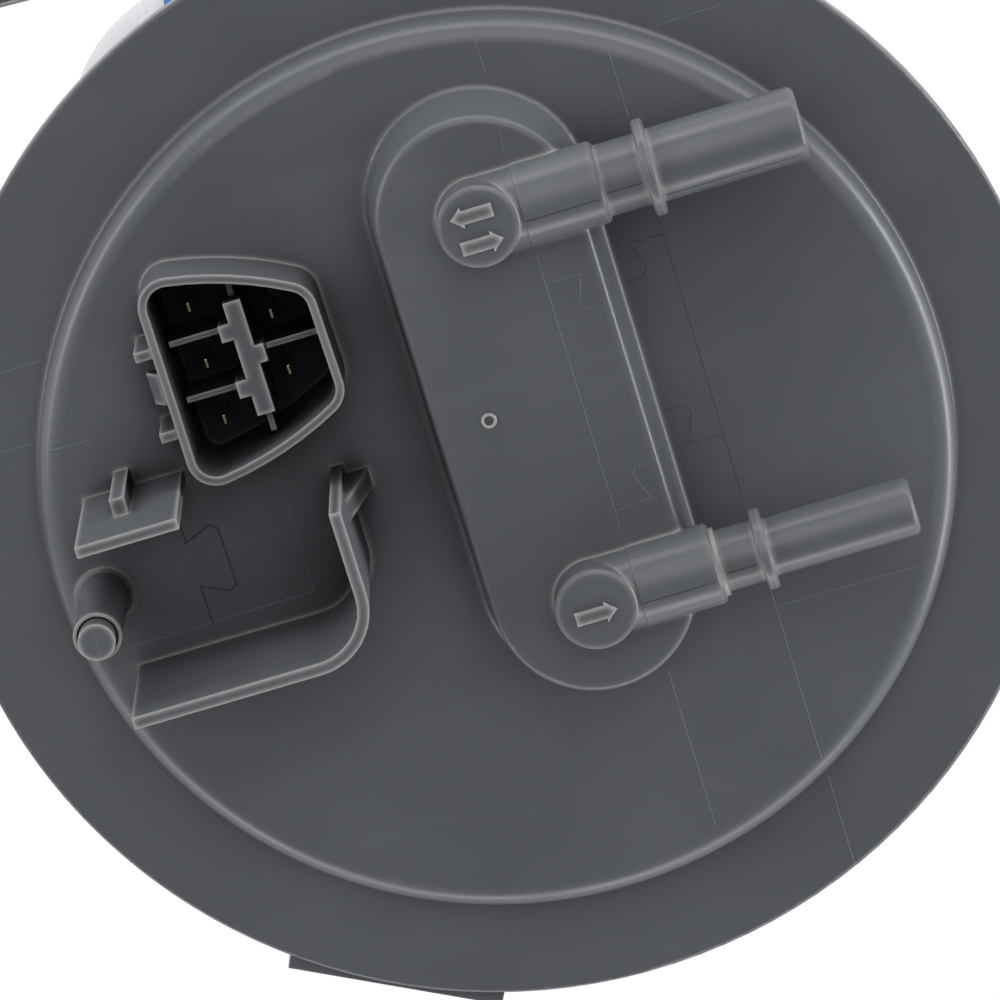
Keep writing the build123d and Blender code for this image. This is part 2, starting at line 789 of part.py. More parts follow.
with BuildPart() as upper_isolator:
    add(turned([
        (13.4, lid_bottom), (pump_radius - 0.6, lid_bottom),
        (pump_radius - 0.6, can_top), (13.4, can_top),
    ]))
upper_isolator.part.label = "upper_isolator"
export_step(upper_isolator.part, "parts/upper_isolator.step")

with BuildPart() as lower_isolator:
    add(turned([
        (pump_radius - 3.8, cradle_bottom + 1.8), (cradle_inner - 0.1, cradle_bottom + 1.8),
        (cradle_inner - 0.1, can_bottom + 6), (pump_radius + 0.1, can_bottom + 6),
        (pump_radius + 0.1, can_bottom), (pump_radius - 3.8, can_bottom),
    ]))
lower_isolator.part.label = "lower_isolator"
export_step(lower_isolator.part, "parts/lower_isolator.step")

cap_seat = can_top - can_wall - 0.05
cap_bottom = cap_seat - 9.0
cap_neck_top = lid_top + 4.0
outlet_top = lid_top + 20.0
outlet_radius = supply_hose_bore - 0.05
valve_seat = cap_neck_top - 2.0
chamber_radius = 1.9
with BuildPart() as outlet_cap:
    add(turned([
        (0, cap_bottom), (can_inner - 0.05, cap_bottom), (can_inner - 0.05, cap_seat),
        (12.4, cap_seat), (12.4, cap_neck_top), (0, cap_neck_top),
    ]))
    fillet(outlet_cap.edges().group_by(Axis.Z)[-1], 1.0)
    # outlet nipple with its check valve chamber
    with BuildSketch(Plane.XY.offset(cap_neck_top - 2)):
        with Locations((outlet_x, outlet_y)):
            Circle(outlet_radius)
    extrude(amount=outlet_top - cap_neck_top + 2)
    chamfer(outlet_cap.edges().group_by(Axis.Z)[-1], 0.4)
    with BuildSketch(Plane.XY.offset(valve_seat)):
        with Locations((outlet_x, outlet_y)):
            Circle(chamber_radius)
    extrude(amount=outlet_top - valve_seat, mode=Mode.SUBTRACT)
    with BuildSketch(Plane.XY.offset(cap_bottom)):
        with Locations((outlet_x, outlet_y)):
            Circle(1.1)
    extrude(amount=valve_seat - cap_bottom, mode=Mode.SUBTRACT)
    # bearing pocket
    with BuildSketch(Plane.XY.offset(cap_bottom)):
        with Locations((pump_x, pump_y)):
            Circle(4.5)
    extrude(amount=5.0, mode=Mode.SUBTRACT)
    # brush wells on both sides of the shaft
    with BuildSketch(Plane.XY.offset(cap_bottom)):
        with Locations((pump_x - 4.6 - 3.2, pump_y), (pump_x + 4.6 + 3.2, pump_y)):
            Rectangle(4.2, 5.2)
    extrude(amount=8.0, mode=Mode.SUBTRACT)
outlet_cap.part.label = "outlet_cap"
export_step(outlet_cap.part, "parts/outlet_cap.step")

# stack of the pump from its inlet upwards
inlet_bottom = can_bottom + can_wall + 0.05
inlet_top = inlet_bottom + 7.0
pocket_top = inlet_top + impeller_thickness
outlet_plate_top = pocket_top + 7.0
core_bottom = outlet_plate_top + 6.0
core_length = can_length - motor_ends
core_top = core_bottom + core_length
winding_overhang = 4.0
commutator_bottom = core_top + winding_overhang + 0.2
commutator_top = commutator_bottom + 2.5
shaft_bottom = inlet_top - 3.0
shaft_top = cap_bottom + 4.5
inlet_nipple_radius = 5.5
inlet_nipple_bottom = can_bottom - 9.0

with BuildPart() as inlet_plate:
    add(turned([
        (0, inlet_bottom), (can_inner - 0.05, inlet_bottom), (can_inner - 0.05, inlet_top), (0, inlet_top),
    ]))
    with BuildSketch(Plane.XY.offset(inlet_bottom)):
        with Locations((pump_x, pump_y)):
            Circle(inlet_nipple_radius)
    extrude(amount=inlet_nipple_bottom - inlet_bottom)
    with BuildSketch(Plane.XY.offset(inlet_nipple_bottom)):
        with Locations((pump_x, pump_y)):
            Circle(inlet_nipple_radius - 1.4)
    extrude(amount=inlet_bottom - inlet_nipple_bottom + 2.0, mode=Mode.SUBTRACT)
    # inlet way into the side channel, the channel itself and the thrust pocket
    with BuildSketch(Plane.XY.offset(inlet_top)):
        with BuildLine():
            CenterArc((pump_x, pump_y), impeller_radius - 2.6, 20, 290)
        trace(line_width=2.6)
    extrude(amount=-1.6, mode=Mode.SUBTRACT)
    with BuildSketch(Plane.XY.offset(inlet_top)):
        with Locations((pump_x, pump_y)):
            Circle(shaft_radius + 0.4)
    extrude(amount=-3.8, mode=Mode.SUBTRACT)
inlet_plate.part.label = "inlet_plate"
export_step(inlet_plate.part, "parts/inlet_plate.step")

with BuildPart() as thrust_button:
    with BuildSketch(Plane.XY.offset(inlet_top - 3.8)):
        with Locations((pump_x, pump_y)):
            Circle(shaft_radius + 0.35)
    extrude(amount=0.75)
thrust_button.part.label = "thrust_button"
export_step(thrust_button.part, "parts/thrust_button.step")

with BuildPart() as impeller:
    with BuildSketch(Plane.XY.offset(inlet_top + impeller_fit)):
        with Locations((pump_x, pump_y)):
            Circle(impeller_radius)
            Circle(shaft_radius, mode=Mode.SUBTRACT)
            with PolarLocations(impeller_radius - 2.6, impeller_vanes):
                Rectangle(3.6, 1.5, mode=Mode.SUBTRACT)
    extrude(amount=impeller_thickness - 2 * impeller_fit)
impeller.part.label = "impeller"
export_step(impeller.part, "parts/impeller.step")

with BuildPart() as outlet_plate:
    add(turned([
        (0, inlet_top), (can_inner - 0.05, inlet_top), (can_inner - 0.05, outlet_plate_top),
        (0, outlet_plate_top),
    ]))
    with BuildSketch(Plane.XY.offset(inlet_top)):
        with Locations((pump_x, pump_y)):
            Circle(impeller_radius + 0.25)
    extrude(amount=impeller_thickness, mode=Mode.SUBTRACT)
    with BuildSketch(Plane.XY.offset(pocket_top)):
        with Locations((pump_x, pump_y)):
            Circle(4.5)
        with BuildLine():
            CenterArc((pump_x, pump_y), impeller_radius - 2.6, 20, 290)
        trace(line_width=2.6)
    extrude(amount=1.6, mode=Mode.SUBTRACT)
    with BuildSketch(Plane.XY.offset(outlet_plate_top)):
        with Locations((pump_x, pump_y)):
            Circle(4.5)
            with PolarLocations(impeller_radius - 2.6, 1, -50):
                Circle(1.3)
    extrude(amount=pocket_top - outlet_plate_top, mode=Mode.SUBTRACT)
outlet_plate.part.label = "outlet_plate"
export_step(outlet_plate.part, "parts/outlet_plate.step")

with BuildPart() as shaft_bearings:
    for base, height in ((pocket_top + 1.6, 5.0), (cap_bottom, 5.0)):
        with BuildSketch(Plane.XY.offset(base)):
            with Locations((pump_x, pump_y)):
                Circle(4.45)
                Circle(shaft_radius + bearing_fit, mode=Mode.SUBTRACT)
        extrude(amount=height - 0.05)
shaft_bearings.part.label = "shaft_bearings"
export_step(shaft_bearings.part, "parts/shaft_bearings.step")

with BuildPart() as rotor_shaft:
    with BuildSketch(Plane.XY.offset(shaft_bottom)):
        with Locations((pump_x, pump_y)):
            Circle(shaft_radius)
    extrude(amount=shaft_top - shaft_bottom)
    chamfer(rotor_shaft.edges().filter_by(GeomType.CIRCLE), 0.3)
rotor_shaft.part.label = "rotor_shaft"
export_step(rotor_shaft.part, "parts/rotor_shaft.step")

slot_depth = 5.4
slot_width = 3.6
slot_mouth = 1.2
with BuildPart() as armature_core:
    with BuildSketch(Plane.XY.offset(core_bottom)):
        with Locations((pump_x, pump_y)):
            Circle(rotor_radius)
            Circle(shaft_radius, mode=Mode.SUBTRACT)
            with PolarLocations(rotor_radius - 0.9 - slot_depth / 2, lamination_slots):
                Rectangle(slot_depth, slot_width, mode=Mode.SUBTRACT)
            with PolarLocations(rotor_radius, lamination_slots):
                Rectangle(3.0, slot_mouth, mode=Mode.SUBTRACT)
    extrude(amount=core_length)
armature_core.part.label = "armature_core"
export_step(armature_core.part, "parts/armature_core.step")

winding_outer = rotor_radius - 1.1
winding_inner = winding_outer - slot_depth + 0.4
with BuildPart() as armature_windings:
    with BuildSketch(Plane.XY.offset(core_bottom)):
        with Locations((pump_x, pump_y)):
            with PolarLocations((winding_outer + winding_inner) / 2, lamination_slots):
                Rectangle(winding_outer - winding_inner, slot_width - 0.2)
    extrude(amount=core_length)
    for base in (core_bottom - winding_overhang, core_top):
        with BuildSketch(Plane.XY.offset(base)):
            with Locations((pump_x, pump_y)):
                Circle(winding_outer)
                Circle(winding_inner, mode=Mode.SUBTRACT)
        extrude(amount=winding_overhang)
armature_windings.part.label = "armature_windings"
export_step(armature_windings.part, "parts/armature_windings.step")

brush_pitch = 7.8
with BuildPart() as commutator:
    with BuildSketch(Plane.XY.offset(commutator_bottom)):
        with Locations((pump_x, pump_y)):
            Circle(brush_pitch + 3.2)
            Circle(brush_pitch - 3.2, mode=Mode.SUBTRACT)
            with PolarLocations(brush_pitch, lamination_slots, 22.5):
                Rectangle(8.0, 0.7, mode=Mode.SUBTRACT)
    extrude(amount=commutator_top - commutator_bottom)
commutator.part.label = "commutator"
export_step(commutator.part, "parts/commutator.step")

with BuildPart() as commutator_hub:
    with BuildSketch(Plane.XY.offset(core_top)):
        with Locations((pump_x, pump_y)):
            Circle(winding_inner - 0.15)
            Circle(shaft_radius, mode=Mode.SUBTRACT)
    extrude(amount=commutator_bottom - core_top)
    with BuildSketch(Plane.XY.offset(commutator_bottom)):
        with Locations((pump_x, pump_y)):
            Circle(brush_pitch - 3.25)
            Circle(shaft_radius, mode=Mode.SUBTRACT)
    extrude(amount=commutator_top - commutator_bottom - 0.3)
commutator_hub.part.label = "commutator_hub"
export_step(commutator_hub.part, "parts/commutator_hub.step")

with BuildPart() as motor_magnets:
    with BuildSketch(Plane.XY.offset(core_bottom - 3)):
        with Locations((pump_x, pump_y)):
            Circle(can_inner - 0.05)
            Circle(rotor_radius + air_gap, mode=Mode.SUBTRACT)
            with PolarLocations(rotor_radius + 3, 2, 90):
                Rectangle(12, 2 * rotor_radius * cos(radians(magnet_span / 2)), mode=Mode.SUBTRACT)
    extrude(amount=core_length + 6)
motor_magnets.part.label = "motor_magnets"
export_step(motor_magnets.part, "parts/motor_magnets.step")

brush_places = [(pump_x - brush_pitch, pump_y), (pump_x + brush_pitch, pump_y)]
well_top = cap_bottom + 8.0
brush_bottom = commutator_top + 0.05
brush_top = well_top - 3.4
with BuildPart() as motor_brushes:
    with BuildSketch(Plane.XY.offset(brush_bottom)):
        with Locations(brush_places):
            Rectangle(4.0, 5.0)
    extrude(amount=brush_top - brush_bottom)
motor_brushes.part.label = "motor_brushes"
export_step(motor_brushes.part, "parts/motor_brushes.step")

brush_coils = [
    coil_spring(place, brush_top + 0.05, well_top - brush_top - 0.1, 1.4, 0.4, 3) for place in brush_places
]
with BuildPart() as brush_springs:
    add(brush_coils)
brush_springs.part.label = "brush_springs"
export_step(brush_springs.part, "parts/brush_springs.step")

with BuildPart() as check_poppet:
    with BuildSketch(Plane.XY.offset(valve_seat + 0.05)):
        with Locations((outlet_x, outlet_y)):
            Circle(chamber_radius - 0.35)
    extrude(amount=1.6)
    with BuildSketch(Plane.XY.offset(valve_seat + 1.65)):
        with Locations((outlet_x, outlet_y)):
            Circle(0.7)
    extrude(amount=6.0)
check_poppet.part.label = "check_poppet"
export_step(check_poppet.part, "parts/check_poppet.step")

with BuildPart() as check_spring:
    add(coil_spring((outlet_x, outlet_y), valve_seat + 1.75, 8.0, 1.25, 0.35, 5))
check_spring.part.label = "check_spring"
export_step(check_spring.part, "parts/check_spring.step")

with BuildPart() as check_retainer:
    with BuildSketch(Plane.XY.offset(valve_seat + 9.85)):
        with Locations((outlet_x, outlet_y)):
            Circle(chamber_radius - 0.03)
            with PolarLocations(1.25, 3):
                Circle(0.45, mode=Mode.SUBTRACT)
    extrude(amount=1.2)
check_retainer.part.label = "check_retainer"
export_step(check_retainer.part, "parts/check_retainer.step")

blade_top = cap_neck_top + 7.0
blade_places = [(pump_x - 7.0, pump_y - 3.5), (pump_x - 7.0, pump_y + 3.5)]
with BuildPart() as pump_terminals:
    with BuildSketch(Plane.XY.offset(cap_neck_top)):
        with Locations(blade_places):
            Rectangle(0.8, 2.8)
    extrude(amount=blade_top - cap_neck_top)
    chamfer(pump_terminals.edges().group_by(Axis.Z)[-1], 0.25)
pump_terminals.part.label = "pump_terminals"
export_step(pump_terminals.part, "parts/pump_terminals.step")

pump_plug_bottom = cap_neck_top + 0.3
pump_plug_top = pump_plug_bottom + 10.0
with BuildPart() as pump_plug:
    with BuildSketch(Plane.XY.offset(pump_plug_bottom)):
        with Locations((pump_x - 7.0, pump_y)):
            RectangleRounded(6.0, 13.0, 1.0)
        with Locations(blade_places):
            Rectangle(1.0, 3.0, mode=Mode.SUBTRACT)
    extrude(amount=blade_top + 0.3 - pump_plug_bottom)
    with BuildSketch(Plane.XY.offset(blade_top + 0.3)):
        with Locations((pump_x - 7.0, pump_y)):
            RectangleRounded(6.0, 13.0, 1.0)
        with Locations(blade_places):
            Circle(wire_radius + 0.02, mode=Mode.SUBTRACT)
    extrude(amount=pump_plug_top - blade_top - 0.3)
pump_plug.part.label = "pump_plug"
export_step(pump_plug.part, "parts/pump_plug.step")

# ------------------------------------------------------------------------ strainer and jet pump
sock_centre = (8.0, -15.5)
sock_size = (56.0, 37.0)
sock_height = 7.6
sock_wall = 1.0
sock_bottom = floor_top + 0.3
sock_top = sock_bottom + sock_height
with BuildPart() as strainer_sock:
    with BuildSketch(Plane.XY.offset(sock_bottom)):
        with Locations(sock_centre):
            RectangleRounded(sock_size[0], sock_size[1], 12.0)
    extrude(amount=sock_height)
    fillet(strainer_sock.edges().group_by(Axis.Z)[0] + strainer_sock.edges().group_by(Axis.Z)[-1], 3.0)
    # hollow bag, open only at the pump's inlet
    with BuildSketch(Plane.XY.offset(sock_bottom + sock_wall)):
        with Locations(sock_centre):
            RectangleRounded(sock_size[0] - 4 * sock_wall, sock_size[1] - 4 * sock_wall, 10.0)
    extrude(amount=sock_height - 2 * sock_wall, mode=Mode.SUBTRACT)
    with BuildSketch(Plane.XY.offset(sock_top)):
        with Locations((pump_x, pump_y)):
            Circle(inlet_nipple_radius - 1.4)
    extrude(amount=-2 * sock_wall, mode=Mode.SUBTRACT)
strainer_sock.part.label = "strainer_sock"
export_step(strainer_sock.part, "parts/strainer_sock.step")

frame_radius = 13.0
frame_thickness = 1.5
with BuildPart() as strainer_frame:
    with BuildSketch(Plane.XY.offset(sock_top)):
        with Locations((pump_x, pump_y)):
            Circle(frame_radius)
            Circle(inlet_nipple_radius - 1.4, mode=Mode.SUBTRACT)
    extrude(amount=frame_thickness)
    with BuildSketch(Plane.XY.offset(sock_top + frame_thickness)):
        with Locations((pump_x, pump_y)):
            Circle(inlet_nipple_radius + 2.0)
            Circle(inlet_nipple_radius - 1.4, mode=Mode.SUBTRACT)
    extrude(amount=inlet_nipple_bottom - sock_top - frame_thickness)
    with BuildSketch(Plane.XY.offset(inlet_nipple_bottom)):
        with Locations((pump_x, pump_y)):
            Circle(inlet_nipple_radius + 2.0)
            Circle(inlet_nipple_radius + 0.05, mode=Mode.SUBTRACT)
    extrude(amount=4.5)
strainer_frame.part.label = "strainer_frame"
export_step(strainer_frame.part, "parts/strainer_frame.step")

jet_axis_z = floor_top + 5.5
jet_length = 32.0
with BuildPart() as jet_pump:
    with BuildSketch(Plane.XY.offset(jet_axis_z)):
        with Locations((jet_x, jet_y)):
            Circle(4.6)
    extrude(amount=lid_bottom - 0.3 - jet_axis_z)
    with BuildSketch(Plane(origin=(jet_x - 4.6, jet_y, jet_axis_z), z_dir=(1, 0, 0))):
        Circle(4.5)
    extrude(amount=jet_length)
    # suction leg through the reservoir floor
    with BuildSketch(Plane.XY.offset(floor_bottom + 0.3)):
        with Locations((jet_x, jet_y)):
            Circle(2.95)
    extrude(amount=jet_axis_z - floor_bottom - 0.3)
    with BuildSketch(Plane.XY.offset(floor_top + 0.05)):
        with Locations((jet_x, jet_y)):
            Circle(4.6)
    extrude(amount=jet_axis_z - floor_top - 0.05)
    # mixing bore, drive bore and socket for the lid's spigot
    with BuildSketch(Plane(origin=(jet_x - 4.6 + jet_length, jet_y, jet_axis_z), z_dir=(-1, 0, 0))):
        Circle(3.0)
    extrude(amount=jet_length - 3.0, mode=Mode.SUBTRACT)
    with BuildSketch(Plane.XY.offset(floor_bottom)):
        with Locations((jet_x, jet_y)):
            Circle(1.8)
    extrude(amount=jet_axis_z - floor_bottom, mode=Mode.SUBTRACT)
    with BuildSketch(Plane.XY.offset(jet_axis_z + 6)):
        with Locations((jet_x, jet_y)):
            Circle(2.2)
    extrude(amount=lid_bottom - jet_axis_z, mode=Mode.SUBTRACT)
    with BuildSketch(Plane.XY.offset(lid_bottom)):
        with Locations((jet_x, jet_y)):
            Circle(return_hose_bore)
    extrude(amount=-4.1, mode=Mode.SUBTRACT)
jet_pump.part.label = "jet_pump"
export_step(jet_pump.part, "parts/jet_pump.step")

fill_travel = 0.8
with BuildPart() as fill_valve:
    with BuildSketch(Plane(origin=(fill_x, fill_y, 0), x_dir=(1, 0, 0), z_dir=(0, -1, 0))):
        with BuildLine():
            Polyline(
                (0, floor_bottom - 1.3),
                (fill_stem_radius + 0.2, floor_bottom - 1.3),
                (fill_stem_radius + 0.9, floor_bottom - fill_travel - 0.1),
                (fill_stem_radius, floor_bottom - fill_travel - 0.1),
                (fill_stem_radius, floor_top + 0.05),
                (fill_disc_radius, floor_top + 0.05),
                (fill_disc_radius, floor_top + 0.65),
                (0, floor_top + 1.7),
                close=True,
            )
        make_face()
    revolve(axis=Axis((fill_x, fill_y, 0), (0, 0, 1)))
fill_valve.part.label = "fill_valve"
export_step(fill_valve.part, "parts/fill_valve.step")

# ------------------------------------------------------------------------ level sender
seat_y = reservoir_flat + 0.1
front_y = seat_y + sender_thickness
pivot_radius = 3.0
hub_start = front_y + 0.4
hub_width = 5.2
front_plane = Plane(origin=(sender_x, front_y, sender_z), x_dir=(1, 0, 0), z_dir=(0, -1, 0))
card_size = (18.0, 13.0)
card_thickness = 0.8
card_offset = 13.5
with BuildPart() as sender_housing:
    # slide-in back plate and raised body
    with BuildSketch(front_plane.offset(sender_thickness)):
        Rectangle(sender_width + 0.4, sender_height)
    extrude(amount=-2.5)
    with BuildSketch(front_plane.offset(sender_thickness - 2.4)):
        RectangleRounded(sender_width - 2.8, sender_height, 2.5)
    extrude(amount=-(sender_thickness - 2.4))
    # tray for the resistor card
    with BuildSketch(front_plane):
        with Locations((0, card_offset)):
            Rectangle(card_size[0] + 0.2, card_size[1] + 0.2)
    extrude(amount=card_thickness + 0.4, mode=Mode.SUBTRACT)
    # hollow lower half with cross ribs
    with BuildSketch(front_plane):
        with Locations((-5.2, -13.5), (5.2, -13.5)):
            Rectangle(8.4, 12.0)
    extrude(amount=3.6, mode=Mode.SUBTRACT)
    # pivot post with its snap head
    with BuildSketch(front_plane):
        Circle(pivot_radius)
    extrude(amount=-(hub_width + 0.8))
    with BuildSketch(front_plane.offset(-hub_width - 0.8)):
        Circle(pivot_radius + 0.7)
        Rectangle(1.0, 12.0, mode=Mode.SUBTRACT)
    extrude(amount=-1.0)
    # wire entries in the top end
    with BuildSketch(Plane.XY.offset(sender_z + sender_height / 2)):
        with Locations(*[(sender_x + step, seat_y + 4.2) for step in (-6, 0, 6)]):
            Circle(wire_radius + 0.02)
    extrude(amount=-2.0, mode=Mode.SUBTRACT)
sender_housing.part.label = "sender_housing"
export_step(sender_housing.part, "parts/sender_housing.step")

with BuildPart() as resistor_card:
    with BuildSketch(front_plane.offset(card_thickness + 0.4)):
        with Locations((0, card_offset)):
            Rectangle(*card_size)
    extrude(amount=-card_thickness)
resistor_card.part.label = "resistor_card"
export_step(resistor_card.part, "parts/resistor_card.step")

arm_direction = Vector(-cos(radians(arm_rest_angle)), 0, -sin(radians(arm_rest_angle)))
arm_y = hub_start + 3.6
pivot_point = Vector(sender_x, arm_y, sender_z)
hub_plane = Plane(origin=(sender_x, hub_start, sender_z), x_dir=arm_direction, z_dir=(0, 1, 0))
with BuildPart() as arm_hub:
    with BuildSketch(hub_plane):
        Circle(6.4)
        with Locations((8.0, 0)):
            Rectangle(16.0, 6.0)
        Circle(pivot_radius + 0.1, mode=Mode.SUBTRACT)
    extrude(amount=hub_width)
    # bore that grips the wire
    with BuildSketch(Plane(origin=pivot_point + arm_direction * 16.0, z_dir=-arm_direction)):
        Circle(rod_wire + 0.02)
    extrude(amount=11.5, mode=Mode.SUBTRACT)
arm_hub.part.label = "arm_hub"
export_step(arm_hub.part, "parts/arm_hub.step")

wiper_angle = -30.0
wiper_plane = Plane(
    origin=(sender_x, hub_start, sender_z),
    x_dir=(sin(radians(wiper_angle)), 0, cos(radians(wiper_angle))),
    z_dir=(0, -1, 0),
)
with BuildPart() as wiper_contact:
    with BuildSketch(wiper_plane):
        with Locations((9.5, 0)):
            SlotOverall(13.0, 2.4)
        with Locations((0, 0)):
            Circle(5.6)
        Circle(pivot_radius + 0.15, mode=Mode.SUBTRACT)
    extrude(amount=0.3)
wiper_contact.part.label = "wiper_contact"
export_step(wiper_contact.part, "parts/wiper_contact.step")

arm_end = pivot_point + arm_direction * arm_length
float_near = 5.0
float_tail = float_near + float_length + 3.4
with BuildPart() as float_rod:
    with BuildLine() as rod_route:
        FilletPolyline(
            pivot_point + arm_direction * 4.6,
            arm_end,
            arm_end - Vector(0, float_tail, 0),
            radius=4.0,
        )
    with BuildSketch(Plane(origin=rod_route.line @ 0, z_dir=arm_direction)):
        Circle(rod_wire)
    sweep(path=rod_route.line)
float_rod.part.label = "float_rod"
export_step(float_rod.part, "parts/float_rod.step")

float_plane = Plane(origin=arm_end, x_dir=(1, 0, 0), z_dir=(0, -1, 0))
with BuildPart() as float_body:
    with BuildSketch(float_plane.offset(float_near)):
        Circle(float_radius)
        Circle(rod_wire + 0.15, mode=Mode.SUBTRACT)
    extrude(amount=float_length)
    round_edges = float_body.edges().filter_by(GeomType.CIRCLE)
    fillet(round_edges.filter_by(lambda e: e.radius > float_radius / 2), 2.0)
float_body.part.label = "float_body"
export_step(float_body.part, "parts/float_body.step")

with BuildPart() as float_retainer:
    with BuildSketch(float_plane.offset(float_near + float_length + 0.3)):
        Circle(3.6)
        Circle(rod_wire + 0.02, mode=Mode.SUBTRACT)
        with PolarLocations(3.2, 4):
            Rectangle(1.6, 1.0, mode=Mode.SUBTRACT)
    extrude(amount=1.0)
float_retainer.part.label = "float_retainer"
export_step(float_retainer.part, "parts/float_retainer.step")


# ------------------------------------------------------------------------ hoses and wires
def bend_radii(points, share=0.45):
    """Largest arc that each corner of a route has room for."""
    radii = []
    for before, corner, after in zip(points, points[1:], points[2:]):
        run_in = Vector(*corner) - Vector(*before)
        run_out = Vector(*after) - Vector(*corner)
        half_turn = radians(run_in.get_angle(run_out)) / 2
        radii.append(share * min(run_in.length, run_out.length) / tan(half_turn))
    return radii


def tube(points, outer, bore=0.0):
    """Hose or wire along straight runs joined by tangent arcs; gives its solid and its centre line."""
    radii = bend_radii(points)
    with BuildPart() as piece:
        with BuildLine() as route:
            FilletPolyline(*points, radius=radii)
        with BuildSketch(Plane(origin=points[0], z_dir=(0, 0, -1))):
            Circle(outer)
            if bore:
                Circle(bore, mode=Mode.SUBTRACT)
        path = route.wires()[0]
        sweep(path=path)
    print("length", round(path.length, 1), "radii", [round(r, 1) for r in radii])
    return piece.part, path


# nylon return hose: one turn round a loop beside the far elbow, then down to the lid's spigot
loop_reach = 29.7
loop_x, loop_y = boss_x - loop_reach, return_y - 2.0
loop_drop = [-42.0, -50.0, -60.0, -72.0, -84.0]
return_points = [(boss_x, return_y, -0.3), (boss_x, return_y, loop_drop[0])]
for step, level in enumerate(loop_drop[1:], start=1):
    angle = radians(60 * step)
    return_points.append((loop_x + loop_reach * cos(angle), loop_y + loop_reach * sin(angle), level))
return_points[-1] = (jet_x, jet_y, loop_drop[-1])
return_points.append((jet_x, jet_y, lid_top + 0.3))
return_solid, return_line = tube(return_points, return_hose_radius, return_hose_bore)
with BuildPart() as return_hose:
    add(return_solid)
return_hose.part.label = "return_hose"
export_step(return_hose.part, "parts/return_hose.step")

clip_at = 0.475
clip_half = 2.5
with BuildPart() as hose_clip:
    with BuildSketch(Plane(origin=return_line @ clip_at, z_dir=return_line % clip_at)):
        Circle(return_hose_radius + 1.5)
        Circle(return_hose_radius + 0.25, mode=Mode.SUBTRACT)
    extrude(amount=clip_half, both=True)
hose_clip.part.label = "hose_clip"
export_step(hose_clip.part, "parts/hose_clip.step")

supply_points = [
    (boss_x, supply_y, -0.3),
    (boss_x, supply_y, -26.0),
    (27.0, -36.0, -42.0),
    (27.0, -38.0, -60.0),
    (outlet_x, outlet_y, -74.0),
    (outlet_x, outlet_y, cap_neck_top + 0.3),
]
supply_solid, supply_line = tube(supply_points, supply_hose_radius, supply_hose_bore)
with BuildPart() as supply_hose:
    add(supply_solid)
supply_hose.part.label = "supply_hose"
export_step(supply_hose.part, "parts/supply_hose.step")

plus_x, plus_y = terminal_places[4]
minus_x, minus_y = terminal_places[2]
wire_start = plug_bottom + 2.8
wire_end = blade_top + 0.35
plus_points = [
    (plus_x, plus_y, wire_start),
    (plus_x, plus_y, -38.0),
    (-10.0, 6.0, -62.0),
    (blade_places[1][0] - 1.0, blade_places[1][1] + 0.5, -76.0),
    (*blade_places[1], -83.0),
    (*blade_places[1], wire_end),
]
minus_points = [
    (minus_x, minus_y, wire_start),
    (minus_x, minus_y, -42.0),
    (-16.0, -6.0, -66.0),
    (blade_places[0][0] - 2.0, blade_places[0][1] + 0.5, -76.0),
    (*blade_places[0], -84.0),
    (*blade_places[0], wire_end),
]
with BuildPart() as pump_wire_red:
    add(tube(plus_points, wire_radius)[0])
pump_wire_red.part.label = "pump_wire_red"
export_step(pump_wire_red.part, "parts/pump_wire_red.step")
with BuildPart() as pump_wire_black:
    add(tube(minus_points, wire_radius)[0])
pump_wire_black.part.label = "pump_wire_black"
export_step(pump_wire_black.part, "parts/pump_wire_black.step")

sender_solids = []
for index, step in ((0, -6), (1, 0), (3, 6)):
    start_x, start_y = terminal_places[index]
    end_x, end_y, end_z = sender_x + step, seat_y + 4.2, sender_z + sender_height / 2 - 1.9
    route_points = [
        (start_x, start_y, wire_start),
        (start_x, start_y, -40.0),
        (end_x - 6.0 + step / 3, end_y - 2.0, -88.0),
        (end_x, end_y, -106.0),
        (end_x, end_y, end_z),
    ]
    sender_solids.append(tube(route_points, wire_radius)[0])
with BuildPart() as sender_wires:
    add(sender_solids)
sender_wires.part.label = "sender_wires"
export_step(sender_wires.part, "parts/sender_wires.step")
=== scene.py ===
"""Looks, light and camera for the fuel pump module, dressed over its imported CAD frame.

Lengths in millimetres are written with the factor MM. The frame's origin is the centre of the tank
opening on the sealing face, +Z out of the tank and +X along the quick-connect tubes.
"""

import json
from math import cos, pi, radians, sin, tan

import bmesh
import bpy
from mathutils import Matrix, Vector


